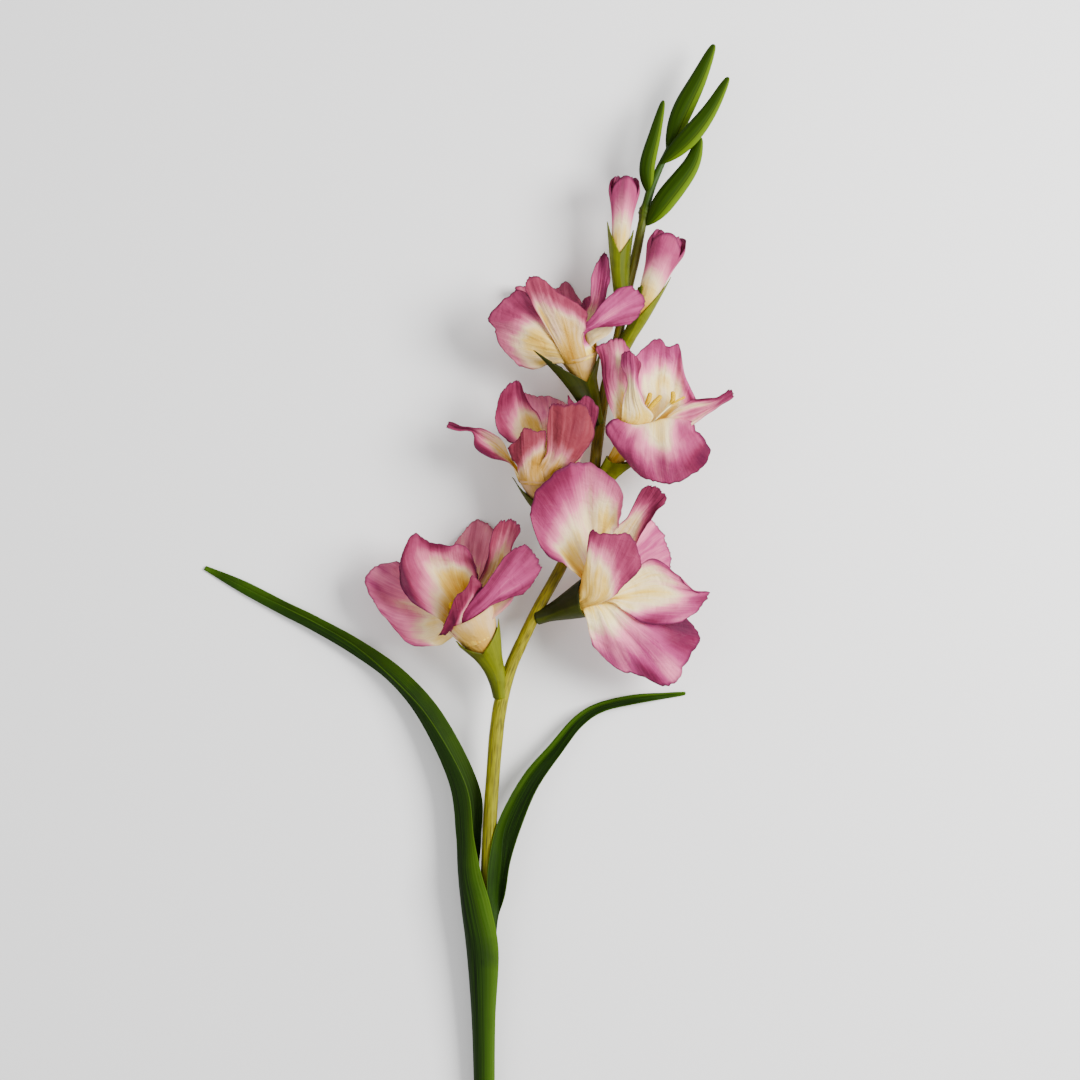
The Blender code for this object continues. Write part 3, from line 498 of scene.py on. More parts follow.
# The six tepals of each bloom. Each has ribs side by side from one margin to the other, as steps
# from the throat, from near the throat to the tip. Then its colouring: how far the cream reaches,
# how wide the coloured margin is, which margin is deeper, how deep the blush gets and how warm.
# Then soft patches on it: how far out, how far across, size and change of the blush.
TEPALS = {}
TEPALS["lower_left"] = (
    (  # outer left
        ((-5, -21, -2), (-16, -27.5, -6), (-31, -28.5, -9), (-46, -22.5, -10)),
        ((-12, -15, -6), (-28, -20, -13), (-44, -19, -15), (-56, -8, -13)),
        ((-13, -10, -8), (-30, -8, -14), (-48, -5, -12), (-63, 1, -11)),
        ((-14, -6, -9), (-32, 2, -17), (-52, 8, -19), (-70, 16, -15)),
        ((-14, -2, -9), (-33, 10, -15), (-50, 19, -14), (-65, 28, -15)),
        ((-14, 4, -10), (-32, 18, -18), (-40, 27, -19), (-50, 33.5, -16)),
        (0.36, 0.1, 0.4, 0.56, 0.2),
        ((0.15, -0.6, 0.2, 0.08), (0.55, -0.9, 0.2, -0.1),
         (0.7, 0.1, 0.12, -0.08), (0.75, 0.7, 0.22, -0.07)),
    ),
    (  # upper left
        ((-14, -12, 6), (-27, -3, 6), (-38, 4, 8), (-44, 15, 8), (-45.5, 33, 6)),
        ((-12, -7, 2), (-27, 6, 2), (-38, 18, 4), (-42, 30, 6), (-40, 45, 6)),
        ((-9, -2, -4), (-22, 13, -5), (-31, 26, -2), (-35, 38, 2), (-34.5, 51.5, 5)),
        ((-5, 2, -8), (-14, 16, -10), (-20, 27, -8), (-23, 36, -3), (-24, 45.5, 3)),
        ((0, 4, -9), (-5, 16, -12), (-8, 27, -9), (-10, 35, -4), (-11, 43, 2)),
        ((5, 5, -8), (4, 15, -10), (4, 26, -8), (3, 34, -4), (2, 42, 0)),
        ((9, 5, -6), (10, 12, -6), (10, 18, -5), (10, 23, -4), (9, 29, -2)),
        (0.78, 0.3, -0.3, 0.66, 0.45),
        ((0.72, -0.85, 0.34, 0.5), (0.4, 0.4, 0.3, -0.19),
         (0.78, 0.75, 0.24, 0.36), (1.0, 0.1, 0.14, 0.28)),
    ),
    (  # back
        ((-2, 10, -15), (-8, 28, -24), (-11, 42, -35)),
        ((2, 12, -16), (-2, 32, -26), (-2, 51, -38)),
        ((6, 14, -12), (4, 36, -25), (6, 60.5, -41.7)),
        ((10, 14, -12), (12, 36, -25), (17, 58.5, -39)),
        ((14, 13, -10), (20, 32, -24), (26, 50, -37)),
        (0.3, 0.7, 0.0, 0.49, 0.6),
        ((0.3, 0.0, 0.25, -0.1),),
    ),
    (  # narrow, upper right, with the hip under the one folded out
        ((7, 8, -6), (14, 26, -2), (18, 44, 0), (23.5, 61, 4)),
        ((11, 6, -8), (20, 26, -8), (24, 42, -5), (28, 61, 2)),
        ((13, -2, -4), (27, 20, -6), (30, 42, -4), (34.5, 61, 2)),
        ((8, -18, 8), (34.5, 3.5, 5), (33, 34, 2), (43, 59, 5)),
        (0.58, 0.3, -0.4, 0.66, 0.7),
        ((0.5, -0.9, 0.2, 0.15), (0.4, 0.2, 0.25, -0.1), (0.35, 1.0, 0.25, 0.02)),
    ),
    (  # right, folded out
        ((-2, -8, 13), (8, 7, 18), (20, 22, 18), (32, 40.5, 14)),
        ((0, -10, 14), (13, 6, 17), (27, 24, 15), (41, 44, 11)),
        ((3, -12, 14), (17, 4, 15), (33, 21, 13), (50, 38, 9)),
        ((4, -13, 13), (19, 3, 13), (35, 15, 12), (54.5, 28, 8)),
        ((5, -13.5, 12), (18, 1, 12), (34, 9, 11), (50.5, 18, 8)),
        ((5, -14, 10), (16, -1.5, 11), (30, 5, 12), (46, 9.5, 9)),
        (-0.35, 0.5, 0.0, 0.76, 0.1),
        ((0.75, 0.1, 0.26, -0.17), (0.3, 0.0, 0.3, -0.06)),
    ),
    (  # front, rising, with a margin rolled in
        ((-9, -18, 8), (-14, -20, 10), (-18.5, -22, 12)),
        ((-5, -15, 12), (-6, -10, 17), (-8, 1, 20)),
        ((-2, -11, 13), (-3, -3, 18), (-5, 8, 21)),
        ((0, -7, 14), (2, 3, 19), (2, 13, 22)),
        ((3, -4, 13), (6, 8, 18), (6, 22.5, 20)),
        ((7, -1, 12), (11, 8, 14), (14, 17, 15)),
        (0.35, 0.5, -0.8, 0.72, 0.6),
        ((0.6, -0.7, 0.3, 0.2), (0.35, 0.5, 0.2, 0.14)),
    ),
)
TEPALS["lower_right"] = (
    (  # large, upper left
        ((-5, 12, 5), (-14, 22, 7), (-27, 28.5, 5), (-38, 40, 3)),
        ((-4, 15, 2), (-16, 30, -1), (-30, 44, 0), (-43, 61, 3)),
        ((-3, 18, 0), (-11, 38, -5), (-22, 58, 0), (-37, 79, 11)),
        ((-2, 20, -1), (-6, 42, -4), (-13, 64, -1), (-24, 90.5, 13)),
        ((-1, 21, -1), (-1, 44, -9), (-4, 68, -5), (-8, 97, 9)),
        ((0, 21, -1), (5, 45, -7), (6, 68, -2), (9, 92, 7)),
        ((2, 21, -2), (10, 46, -5), (16, 62, -4), (22.5, 78, 4)),
        ((4, 20, -2), (14, 44, -3), (20, 52, 0), (22.5, 63, 3)),
        (0.55, 0.25, -0.3, 0.64, 0.25),
        ((0.95, -0.5, 0.14, 0.08), (0.4, -1.0, 0.28, -0.2), (0.8, 0.9, 0.3, -0.18),
         (0.3, -0.2, 0.25, 0.09), (0.98, -0.2, 0.12, 0.14)),
    ),
    (  # narrow, upper right
        ((10, 36, -6), (17, 49, -2), (25, 58, 0), (32, 71, 2), (38, 82, 6)),
        ((16, 36, -7), (24, 49, -4), (32, 60, -1), (39, 70, 2), (45, 80, 6)),
        ((22, 34, -7), (29, 46, -5), (36, 58, -2), (44, 67, 2), (51, 75.5, 6)),
        ((28, 32, -5), (33, 40, -2), (39, 52, 3), (46, 61, 5), (56, 71, 6)),
        (0.5, 0.3, 0.2, 0.72, 0.5),
        ((0.55, 0.9, 0.2, 0.12),),
    ),
    (  # front, standing
        ((-10, -3, 4), (-8, 5, 7), (-5, 13, 9), (-1.5, 26, 12)),
        ((-4, 2, 8), (-3, 16, 14), (-2, 33, 17), (0, 49, 18)),
        ((0, 1, 10), (2, 17, 16), (4, 33, 18), (7, 47.5, 18)),
        ((4, 1, 10), (8, 17, 15), (12, 32, 17), (17, 46.5, 20)),
        ((8, 1, 9), (14, 15, 14), (20, 29, 17), (28, 47, 19)),
        ((10, 0.5, 8), (18, 11, 12), (26, 22, 14), (34, 34, 16)),
        ((12, 0, 7), (20, 7, 9), (29, 15, 11), (38.5, 27, 14)),
        (0.46, 0.2, 0.9, 0.66, 0.45),
        ((0.45, -0.3, 0.35, -0.03), (1.0, -0.6, 0.12, 0.24), (0.7, -1.0, 0.3, -0.16)),
    ),
    (  # right back, down to the table
        ((14, 22, -10), (31, 42, -20), (45, 61, -40)),
        ((17, 18, -12), (36, 34, -26), (52, 47, -45)),
        ((20, 14, -12), (39, 25, -28), (58, 33, -49.7)),
        ((22, 10, -12), (40, 16, -28), (60, 18, -47)),
        (-0.1, 0.6, 0.5, 0.58, 0.0),
        ((0.9, -1.0, 0.2, -0.12),),
    ),
    (  # right
        ((15, 6, 5), (30, 20, 4), (44, 30, 4), (57, 20.5, 4), (70, 7, 3)),
        ((14, 3, 3), (30, 11, -1), (46, 16, -1), (62, 12, 2), (77, 5, 2)),
        ((14, 1, 2), (31, 4, 0), (48, 5, 1), (65, 4, 1), (83.5, 5, 1)),
        ((13, 0, 3), (30, -2, 3), (46, -4, 3), (62, -5, 4), (78, -5, 3)),
        ((13, -1, 5), (24, -8, 7), (36, -15.5, 8), (52, -17, 8), (70, -13.5, 5)),
        (0.6, 0.2, -0.1, 0.6, 0.1),
        ((0.66, -0.95, 0.26, 0.04), (0.66, 0.85, 0.16, 0.3),
         (0.95, 0.2, 0.15, 0.14), (0.4, 0.0, 0.25, -0.05)),
    ),
    (  # lower lip
        ((-6.5, -7, 2), (-3, -14, 3), (-0.5, -25, 0), (3, -36, -6)),
        ((1, -3, 3), (6, -17, 3), (9, -30, -2), (17, -48, -10)),
        ((4, -3, 3), (14, -19, 5), (23, -34, 1), (36, -54.5, -14)),
        ((7, -3, 2), (21, -18, 3), (36, -35, -1), (56, -61, -16)),
        ((10, -2, 2), (27, -15, 5), (46, -30, 2), (67, -47.5, -13)),
        ((12, -2, 1), (32, -11, 3), (54, -20, -1), (79, -27, -11)),
        ((14, -1, 1), (34, -7, 1), (54, -11, -2), (72, -12, -8)),
        (0.3, 0.15, 0.4, 0.54, 0.0),
        ((0.95, -0.2, 0.12, 0.2), (0.88, 0.9, 0.24, 0.36), (0.45, -1.0, 0.25, -0.08),
         (0.66, -1.0, 0.2, -0.14), (0.93, 0.2, 0.1, -0.14)),
    ),
)
TEPALS["middle_left"] = (
    (  # narrow, rolled, to the left
        ((-23, -10, 2), (-36, -6, 3), (-47, 1, 4), (-49.5, 12, 3), (-58, 13.6, 3), (-69.5, 14.5, 2)),
        ((-23, -8, -4), (-34, 2, -6), (-43, 8, -4), (-50, 14, -1), (-60, 15.6, 0), (-67, 17.5, 1)),
        ((-24, -3, 0), (-29, 7, 1), (-40, 14.5, 2), (-49, 15, 3), (-57, 17, 4), (-66.5, 21, 3)),
        (0.3, 0.4, -0.6, 0.66, 0.4),
        ((0.4, -0.9, 0.25, 0.3), (0.45, 0.9, 0.2, 0.06)),
    ),
    (  # upper left
        ((-16, 2, 0), (-24, 5.5, 3), (-31, 12, 6), (-34.5, 26, 5)),
        ((-13, 3, -3), (-22, 12, -4), (-30, 24, 0), (-29.5, 40, 4)),
        ((-9, 5, -4), (-16, 18, -8), (-21, 33, -4), (-21, 48, 4)),
        ((-5, 7, -4), (-8, 18, -8), (-13, 32, -5), (-16, 47.5, 2)),
        ((1, 8, -4), (0, 16, -4), (-4, 26, -1), (-13, 36, 1)),
        (0.45, 0.4, -0.9, 0.72, 0.5),
        ((0.5, 0.6, 0.25, -0.1),),
    ),
    (  # back, down to the table
        ((-8, 14, -12), (-13, 28, -24), (-16, 44, -38)),
        ((-2, 15, -14), (-3, 28, -28), (-6, 39.5, -41.7)),
        ((5, 15, -14), (7, 28, -28), (6, 39, -41)),
        ((12, 13, -12), (16, 26, -26), (20, 33, -40)),
        (0.1, 0.6, 0.0, 0.48, 0.2),
        (),
    ),
    (  # large, right front
        ((-8, -19, 8), (-1, -9, 15), (3, 2, 18), (2, 22, 17)),
        ((-2, -18, 11), (4, -6, 15), (6, 8, 16), (6, 32, 17)),
        ((6, -17, 11), (12, -4, 17), (15, 12, 20), (17, 31.5, 18)),
        ((12, -16, 9), (19, -4, 16), (26, 10, 19), (30, 31.5, 17)),
        ((18, -14, 6), (27, -4, 10), (34, 5, 12), (36, 18, 12)),
        (0.3, 0.2, 0.5, 0.66, 0.95),
        ((0.55, -0.75, 0.22, -0.2), (0.35, 0.2, 0.2, -0.1)),
    ),
    (  # front
        ((-18, -12, 8), (-22, -6, 11), (-26, 3, 13)),
        ((-15, -14, 11), (-17, -4, 15), (-17, 8, 16)),
        ((-11, -15, 12), (-12, -3, 17), (-13, 15.5, 19)),
        ((-6, -15, 12), (-5, -2, 17), (-5, 13, 18)),
        ((0, -14, 12), (2, 0, 15), (2, 17, 17)),
        (0.4, 0.25, -0.9, 0.7, 0.9),
        ((0.6, 0.8, 0.32, -0.16),),
    ),
    (  # small, upper right
        ((14, 10, -4), (17, 26, 0), (17, 42, 3)),
        ((18, 8, -4), (22, 22, -1), (22, 33, 1)),
        ((22, 4, -4), (28, 20, 0), (30, 38, 3)),
        ((24, -12, 0), (36, 14, 0), (40, 33, 4)),
        (0.45, 0.3, 0.0, 0.66, 0.5),
        (),
    ),
)
TEPALS["middle_right"] = (
    (  # upper back
        ((-5, 9, 0), (-8, 22, -1), (-10, 35, 0), (-12, 47.5, 0)),
        ((0, 11, -4), (-1, 27, -5), (-2, 41, -5), (-3, 54.5, -5)),
        ((4, 12, -5), (5, 30, -9), (6, 45, -9), (8, 61, -6)),
        ((9, 12, -6), (11, 29, -8), (12.5, 42, -8), (13.5, 54.5, -9)),
        ((13, 11, -5), (17, 26, -9), (20, 40, -9), (22, 55, -6)),
        ((17, 9, -4), (22, 18, -6), (25, 27, -5), (26, 34, -6)),
        ((20, 6, -3), (26, 10, -4), (31, 14, -4), (35, 17, -4)),
        (0.5, 0.3, 0.1, 0.6, 0.05),
        ((1.0, -0.4, 0.18, 0.12),),
    ),
    (  # outer left, with its end rolled out
        ((-24, 4, 2), (-29, 16, 4), (-32, 30, 7), (-34, 44, 7), (-39, 55, 1)),
        ((-18, 5, 1), (-24, 18, 5), (-28, 31, 8), (-28, 45, 10), (-29, 57.5, 2)),
        ((-12, 6, 0), (-18, 18, 4), (-21, 30, 8), (-20, 44, 10), (-21, 60.5, 1)),
        ((-3, 8, 0), (-5, 18, 2), (-8, 30, 4), (-12, 43, 5), (-12.5, 55.5, 0)),
        (0.3, 0.3, -0.5, 0.6, 0.4),
        ((0.62, -0.7, 0.18, 0.22), (0.82, 0.3, 0.14, -0.26), (0.4, 0.3, 0.2, -0.08)),
    ),
    (  # inner left, standing
        ((-19, 4, 6), (-18, 17, 11), (-15, 29, 15), (-20, 40, 17), (-18.5, 51, 16)),
        ((-12, 3, 8), (-13, 17, 13), (-13, 30, 18), (-14, 40, 21), (-14, 50, 19)),
        ((-5, 3, 8), (-8, 16, 14), (-10, 28, 19), (-10, 38, 22), (-11, 48.5, 18)),
        ((3, 3, 6), (-3, 13, 11), (-7, 27, 15), (-6, 39, 17), (-9, 46.5, 16)),
        (0.5, 0.4, 0.3, 0.68, 0.2),
        ((0.85, -0.9, 0.2, -0.06), (0.75, 0.95, 0.2, 0.12)),
    ),
    (  # narrow, rolled, to the right
        ((14, 6, 4), (26, 14, 8), (36, 17.5, 9), (47, 17.5, 10), (54, 22, 12)),
        ((14, 3, 1), (27, 9, 3), (38, 12, 4), (48, 15.5, 7), (57, 23.5, 11)),
        ((14, -3, 4), (28, -3, 6), (40, 5.5, 7), (50, 12, 8), (62, 19, 11)),
        (0.6, 0.3, -0.9, 0.74, 0.3),
        ((0.42, 0.3, 0.2, 0.24), (0.72, 0.5, 0.25, 0.16),
         (0.5, -0.9, 0.2, 0.1), (0.1, 0.0, 0.15, 0.1)),
    ),
    (  # lower lip
        ((-20, 1, 6), (-26, 3, 8), (-30, -3, 7), (-25, -13, 2)),
        ((-12, -1, 7), (-18, -8, 10), (-20, -18, 8), (-14, -29.5, -2)),
        ((-5, -1, 7), (-7, -12, 11), (-8, -24, 10), (-3, -38.5, -4)),
        ((3, 1, 7), (4, -13, 9), (5, -27, 6), (8, -41.5, -5)),
        ((10, 3, 6), (14, -12, 11), (17, -27, 10), (21, -41.5, -5)),
        ((18, 3, 5), (24, -10, 9), (29, -23, 8), (37, -33, -3)),
        ((26, 1, 5), (34, -5, 6), (40, -11, 5), (46, -21, -2)),
        (0.1, 0.4, 0.0, 0.66, 0.25),
        ((0.5, 0.12, 0.22, -0.32), (0.9, 0.05, 0.12, -0.06), (0.9, 0.85, 0.14, 0.25),
         (0.3, -0.4, 0.2, -0.08), (0.1, 0.5, 0.22, -0.12)),
    ),
    (  # under the lip, down to the table
        ((-6, -11, -12), (-2, -18, -30), (3, -22, -44.8)),
        ((5, -12, -13), (11, -17, -31), (17, -21, -45.8)),
        ((14, -8, -12), (22, -13, -30), (29, -18, -44.8)),
        (0.2, 0.8, 0.0, 0.8, 0.2),
        (),
    ),
)
TEPALS["upper_left"] = (
    (  # large, left
        ((-6, -21, 2), (-16, -22, 1), (-28, -25.5, 0), (-42, -22, -3)),
        ((-8, -17, 5), (-22, -16, 5), (-36, -15, 5), (-52, -8, 1)),
        ((-10, -13, 8), (-25, -9, 11), (-40, -4, 9), (-55, 2, 3)),
        ((-11, -10, 9), (-25, -2, 14), (-40, 5, 12), (-60, 10.5, 4)),
        ((-12, -8, 9), (-24, 4, 13), (-37, 13, 11), (-50, 22.5, 6)),
        ((-12, -6, 9), (-21, 8, 12), (-32, 19, 11), (-41, 30.5, 8)),
        ((-11, -5, 8), (-18, 8, 13), (-27, 20, 13), (-35, 31.5, 9)),
        (0.5, 0.2, 0.8, 0.62, 0.45),
        ((0.6, 0.75, 0.18, 0.1), (0.5, -0.3, 0.25, -0.08), (0.95, -0.8, 0.25, -0.12)),
    ),
    (  # front
        ((-10, -12, 10), (-19, 3, 16), (-28, 18, 18), (-36, 34, 13)),
        ((-8, -9, 12), (-16, 6, 17), (-24, 22, 17), (-30.5, 40.5, 13)),
        ((-5, -6, 13), (-11, 9, 19), (-17, 22, 19), (-21, 37.5, 14)),
        ((-2, -5, 13), (-5, 8, 18), (-9, 18, 19), (-12, 29, 16)),
        ((2, -4, 13), (2, 7, 17), (2, 13, 18), (1, 21.5, 16)),
        ((7, -4, 11), (9, 3, 14), (10, 9, 15), (10, 15.5, 14)),
        (0.5, 0.2, 0.2, 0.64, 0.7),
        ((0.35, 0.0, 0.25, -0.06), (0.7, -0.75, 0.16, -0.16)),
    ),
    (  # back, down to the table
        ((-10, 6, -12), (-28, 20, -21), (-46, 38, -31)),
        ((-6, 10, -12), (-18, 22, -26), (-28, 36, -38)),
        ((-2, 12, -13), (-9, 24, -28), (-12, 35, -41)),
        ((2, 12, -13), (-2, 25, -27), (-3, 39, -41.7)),
        ((5, 9, -12), (6, 16, -22), (7, 24, -34)),
        (0.15, 0.6, 0.0, 0.62, 0.6),
        (),
    ),
    (  # narrow, upright
        ((8, 8, -4), (12, 26, -6), (14, 48.5, -10)),
        ((10, 8, -6), (14, 28, -10), (17, 51.5, -13)),
        ((12, 7, -6), (17, 28, -11), (20.5, 57, -14)),
        ((14, 7, -5), (20, 27, -9), (25, 56, -12)),
        ((16, 6, -4), (22, 24, -6), (27.5, 40, -8)),
        (0.35, 0.3, 0.2, 0.58, 0.1),
        ((1.0, 0.1, 0.12, 0.2), (0.6, 0.9, 0.2, 0.15)),
    ),
    (  # right, folded out
        ((4, 0, 11), (12, 10, 14), (22, 23, 14), (34, 33.5, 9)),
        ((5, -1, 12), (15, 7, 15), (29, 20, 14), (43, 32.5, 9)),
        ((6, -2, 12), (17, 5, 14), (32, 15, 12), (50.5, 22, 8)),
        ((7, -2.5, 11), (17, 4, 12), (32, 9, 11), (47, 13, 7)),
        ((8, -3, 10), (16, 3, 12), (29, 4, 12), (43, 6, 8)),
        (-0.25, 0.5, 0.2, 0.68, 0.0),
        ((0.7, -0.2, 0.22, -0.16), (0.7, 0.9, 0.2, 0.08)),
    ),
    (  # small, right back, with the hip under the one folded out
        ((3, 8, -8), (6, 16, -14), (6, 24, -20)),
        ((8, 7, -8), (12, 17, -14), (12, 27.5, -20)),
        ((11, -11, 6), (28, 3.5, 2), (22, 22, -18)),
        (0.3, 0.6, 0.0, 0.7, 0.3),
        ((0.6, 1.0, 0.25, -0.4),),
    ),
)


def tube_path(foot_y, elbow, throat):
    """A flower's axis: from the stem's, at foot_y from the cut, round its bend to its throat."""
    axis = through(STEM_PATH, np.linspace(0, 1, 2001))
    foot = [np.interp(foot_y, axis[:, 1], axis[:, k]) for k in range(3)]
    return np.array([foot, elbow, throat])


def funnel(s, bell):
    """The radius of a tube's wall at s, from 0 at the stem to 1 at the throat."""
    radius, swell = bell
    return TUBE_NECK + (radius - TUBE_NECK) * smooth(s, swell, 1.1)


def tube_bend(path, bell, rim):
    """The funnel of a bloom, from its foot at the stem to a rim below the throat."""

    def bend(u, v):
        s = rim * u
        close = np.minimum(1.0, u * TUBE_FOOT)
        flutes = 1 + TUBE_FLUTE * np.cos(6 * math.pi * v)
        return ring(path, s, math.pi * v, funnel(s, bell) * close * flutes)

    return bend


def tepal_bend(path, bell, ribs, ruffle, seed):
    """A tepal through its ribs, with a claw in the tube's wall, a midrib, pleats and frills."""
    throat = np.array(path[2], float)
    ribs = [throat + np.array(rib, float) for rib in ribs]
    start = np.array([TEPAL_FOOT])
    axis = heading(path, start)[0]
    outward = np.mean([rib[0] for rib in ribs], 0) - through(path, start)[0]
    turn = 1.0 if np.dot(np.cross(axis, outward), ribs[-1][0] - ribs[0][0]) > 0 else -1.0
    for k, angle in enumerate(np.linspace(-TEPAL_HALF_ANGLE, TEPAL_HALF_ANGLE, len(ribs))):
        foot = ring(path, start, np.array([turn * angle]), funnel(start, bell) + 0.5, outward)
        ribs[k] = np.concatenate([foot, ribs[k]])

    def flat(s, v):
        return through(np.array([through(rib, s) for rib in ribs]), (v + 1) / 2)

    def bend(u, v):
        edge = np.abs(v)
        corner = 0.07 * u * u * edge**4
        torn = NIBBLE * wander(v * 1.3 + 0.3, seed, 8) * u**3
        s = u * (1.0 - corner) * (1 - 0.01 - torn)
        side = np.where(v < 0, 0.0, 0.5)
        nibble = NIBBLE * wander(u * 1.1 + side, seed + 1, 7) * edge**3 * smooth(u, 0.2, 0.5)
        v = v * (1 - 0.015 - nibble)
        step = 0.02
        du = flat(np.minimum(s + step, 1.0), v) - flat(np.maximum(s - step, 0.0), v)
        dv = flat(s, np.minimum(v + step, 1.0)) - flat(s, np.maximum(v - step, -1.0))
        normal = unit(np.cross(du, dv))
        phase = np.where(v < 0, 1.3, 3.9)
        rise = ruffle * np.sin(2 * math.pi * RUFFLES * s + phase) * edge**2.5 * s
        frill = np.sin(2 * math.pi * FRILLS * s + 2 * phase + 1.5 * wander(s, seed + 2))
        rise += 0.4 * ruffle * frill * edge**5 * s
        rise += 0.5 * ruffle * wander(v * 0.9, seed + 3, 5) * s**6
        pleats = PLEAT * wander(v * 1.6 + 0.1 * s, seed + 4, 7)
        rise += pleats * smooth(s, 0.15, 0.5) * (1 - 0.4 * s)
        depth, half = MIDRIB
        rise -= depth * np.exp(-((v / half) ** 2)) * smooth(s, 0.1, 0.4) * (1 - s)
        return flat(s, v) + normal * rise[:, None]

    return bend


def blush_tint(blush, warm, chance):
    """What tepal_flesh reads: blush (0 gold, 0.3 cream, 1 deepest), warmth and a chance value."""
    rest = [np.full_like(blush, value) for value in (warm, chance, 1.0)]
    return np.stack([blush, *rest], 1)


def tepal_tint(colouring, patches, chance):
    """A tepal: golden foot, cream middle, mauve end and margin, and its soft patches."""
    cream, rim, lean, deep, warm = colouring

    def tint(u, v):
        edge = np.abs(v)
        gold = 0.19 + 0.11 * smooth(u, 0.05, 0.45)
        inner = smooth(u + 0.12 * edge**2 + 0.22 * lean * v, cream, cream + 0.45)
        margin = smooth(edge + 0.25 * lean * v + 0.25 * u**3, 1.0 - rim, 1.1)
        margin = margin * smooth(u, 0.25, 0.7)
        blush = gold + (deep - gold) * np.maximum(inner, margin) * smooth(u, 0.05, 0.2)
        for out, across, size, change in patches:
            blush += change * np.exp(-(((u - out) / size) ** 2) - ((v - across) / (2 * size)) ** 2)
        return blush_tint(np.clip(blush, 0.02, 0.97), warm, chance)

    return tint


def tube_tint(warm, chance):
    """The outside of a tube: cream, golden where it leaves the bracts."""

    def tint(u, v):
        return blush_tint(0.15 + 0.12 * smooth(u, 0.6, 1.0), warm, chance)

    return tint


# The flesh of a petal, velvety cells over watery tissue: light goes a little way through it, fine
# veins and crumples give it a silky, matt sheen, and its margin is drawn with a thin dark line
TEPAL_VEINS = (64.0, 2.2, 1.0)  # 0.5 mm wide, coarser than real, and 30 mm long on 35 by 65 mm
TEPAL_WASHES = (7.0, 3.0, 1.0)  # broad streaks of colour, 5 mm wide and 20 mm long
TEPAL_CRUMPLES = 130.0  # to the metre, so 8 mm each
PATTERN_SHIFT = (0.0, 0.0, 40.0)  # times the chance value: each tepal's own part of the patterns
tepal_flesh, tree = start_material("tepal_flesh")
lay = add(tree, "UVMap", uv_map="lay")
tint = add(tree, "Attribute", attribute_name="tint")
own = add(tree, "SeparateColor", {0: tint.outputs["Color"]})
shift = add(tree, "VectorMath", {0: tint.outputs["Color"], 1: PATTERN_SHIFT}, operation="MULTIPLY")
place = add(tree, "VectorMath", {0: lay.outputs[0], 1: shift.outputs[0]}, operation="ADD")
vein_place = add(tree, "Mapping", {0: place.outputs[0], "Scale": TEPAL_VEINS})
vein = add(tree, "TexNoise", {
    0: vein_place.outputs[0], "Scale": 1.0, "Detail": 3.0, "Roughness": 0.6,
})
wash_place = add(tree, "Mapping", {0: place.outputs[0], "Scale": TEPAL_WASHES})
wash = add(tree, "TexNoise", {0: wash_place.outputs[0], "Scale": 1.0, "Detail": 2.0})
fine = add(tree, "MapRange", {0: vein.outputs[0], 1: 0.3, 2: 0.7, 3: -0.028, 4: 0.028})
broad = add(tree, "MapRange", {0: wash.outputs[0], 1: 0.3, 2: 0.7, 3: -0.06, 4: 0.06})
veined = add(tree, "Math", {0: own.outputs[0], 1: fine.outputs[0]}, operation="ADD")
blush = add(tree, "Math", {0: veined.outputs[0], 1: broad.outputs[0]}, operation="ADD")
mauve = add(tree, "ValToRGB", {0: blush.outputs[0]}, stops=(
    (0.0, "A86C04"), (0.12, "DCA428"), (0.22, "FADA62"), (0.32, "FFEEBA"), (0.45, "F088A8"),
    (0.60, "B24478"), (0.76, "7A2046"), (0.90, "581036"), (1.0, "440A28"),
))
rose = add(tree, "ValToRGB", {0: blush.outputs[0]}, stops=(
    (0.0, "7E4E0C"), (0.12, "A8741E"), (0.22, "BE8C42"), (0.32, "D0A47C"), (0.45, "BE6A74"),
    (0.60, "8C383E"), (0.76, "681A2C"), (0.90, "500E24"), (1.0, "400A1C"),
))
hue = add(tree, "Mix", {
    0: own.outputs[1], 6: mauve.outputs[0], 7: rose.outputs[0],
}, data_type="RGBA")
side = add(tree, "SeparateXYZ", {0: lay.outputs[0]})
middle = add(tree, "Math", {0: side.outputs[0], 1: 0.5}, operation="SUBTRACT")
edge = add(tree, "Math", {0: middle.outputs[0]}, operation="ABSOLUTE")
brim = add(tree, "MapRange", {0: edge.outputs[0], 1: 0.47, 2: 0.49, 3: 0.0, 4: 1.0})
end = add(tree, "MapRange", {0: side.outputs[1], 1: 0.975, 2: 0.995, 3: 0.0, 4: 1.0})
line = add(tree, "Math", {0: brim.outputs[0], 1: end.outputs[0]}, operation="MAXIMUM")
strong = add(tree, "MapRange", {0: own.outputs[0], 1: 0.33, 2: 0.6, 3: 0.1, 4: 0.75})
rim = add(tree, "Math", {0: line.outputs[0], 1: strong.outputs[0]}, operation="MULTIPLY")
silk = add(tree, "Mix", {
    0: rim.outputs[0], 6: hue.outputs[2], 7: linear("571639"),
}, data_type="RGBA")
spot = add(tree, "TexCoord")
crumple = add(tree, "TexNoise", {
    0: spot.outputs["Object"], "Scale": TEPAL_CRUMPLES, "Detail": 4.0, "Distortion": 0.6,
})
soft = add(tree, "Bump", {"Height": crumple.outputs[0], "Strength": 0.7, "Distance": 0.002})
rise = add(tree, "Bump", {
    "Height": vein.outputs[0], "Strength": 0.6, "Distance": 0.0006, "Normal": soft.outputs[0],
})
flesh = add(tree, "BsdfPrincipled", {
    "Base Color": silk.outputs[2], "Roughness": 0.55, "Normal": rise.outputs[0],
    "Specular IOR Level": 0.12,
})
glow = add(tree, "BsdfTranslucent", {"Color": silk.outputs[2], "Normal": rise.outputs[0]})
both = add(tree, "MixShader", {0: 0.25, 1: flesh.outputs[0], 2: glow.outputs[0]})
add(tree, "OutputMaterial", {"Surface": both.outputs[0]})

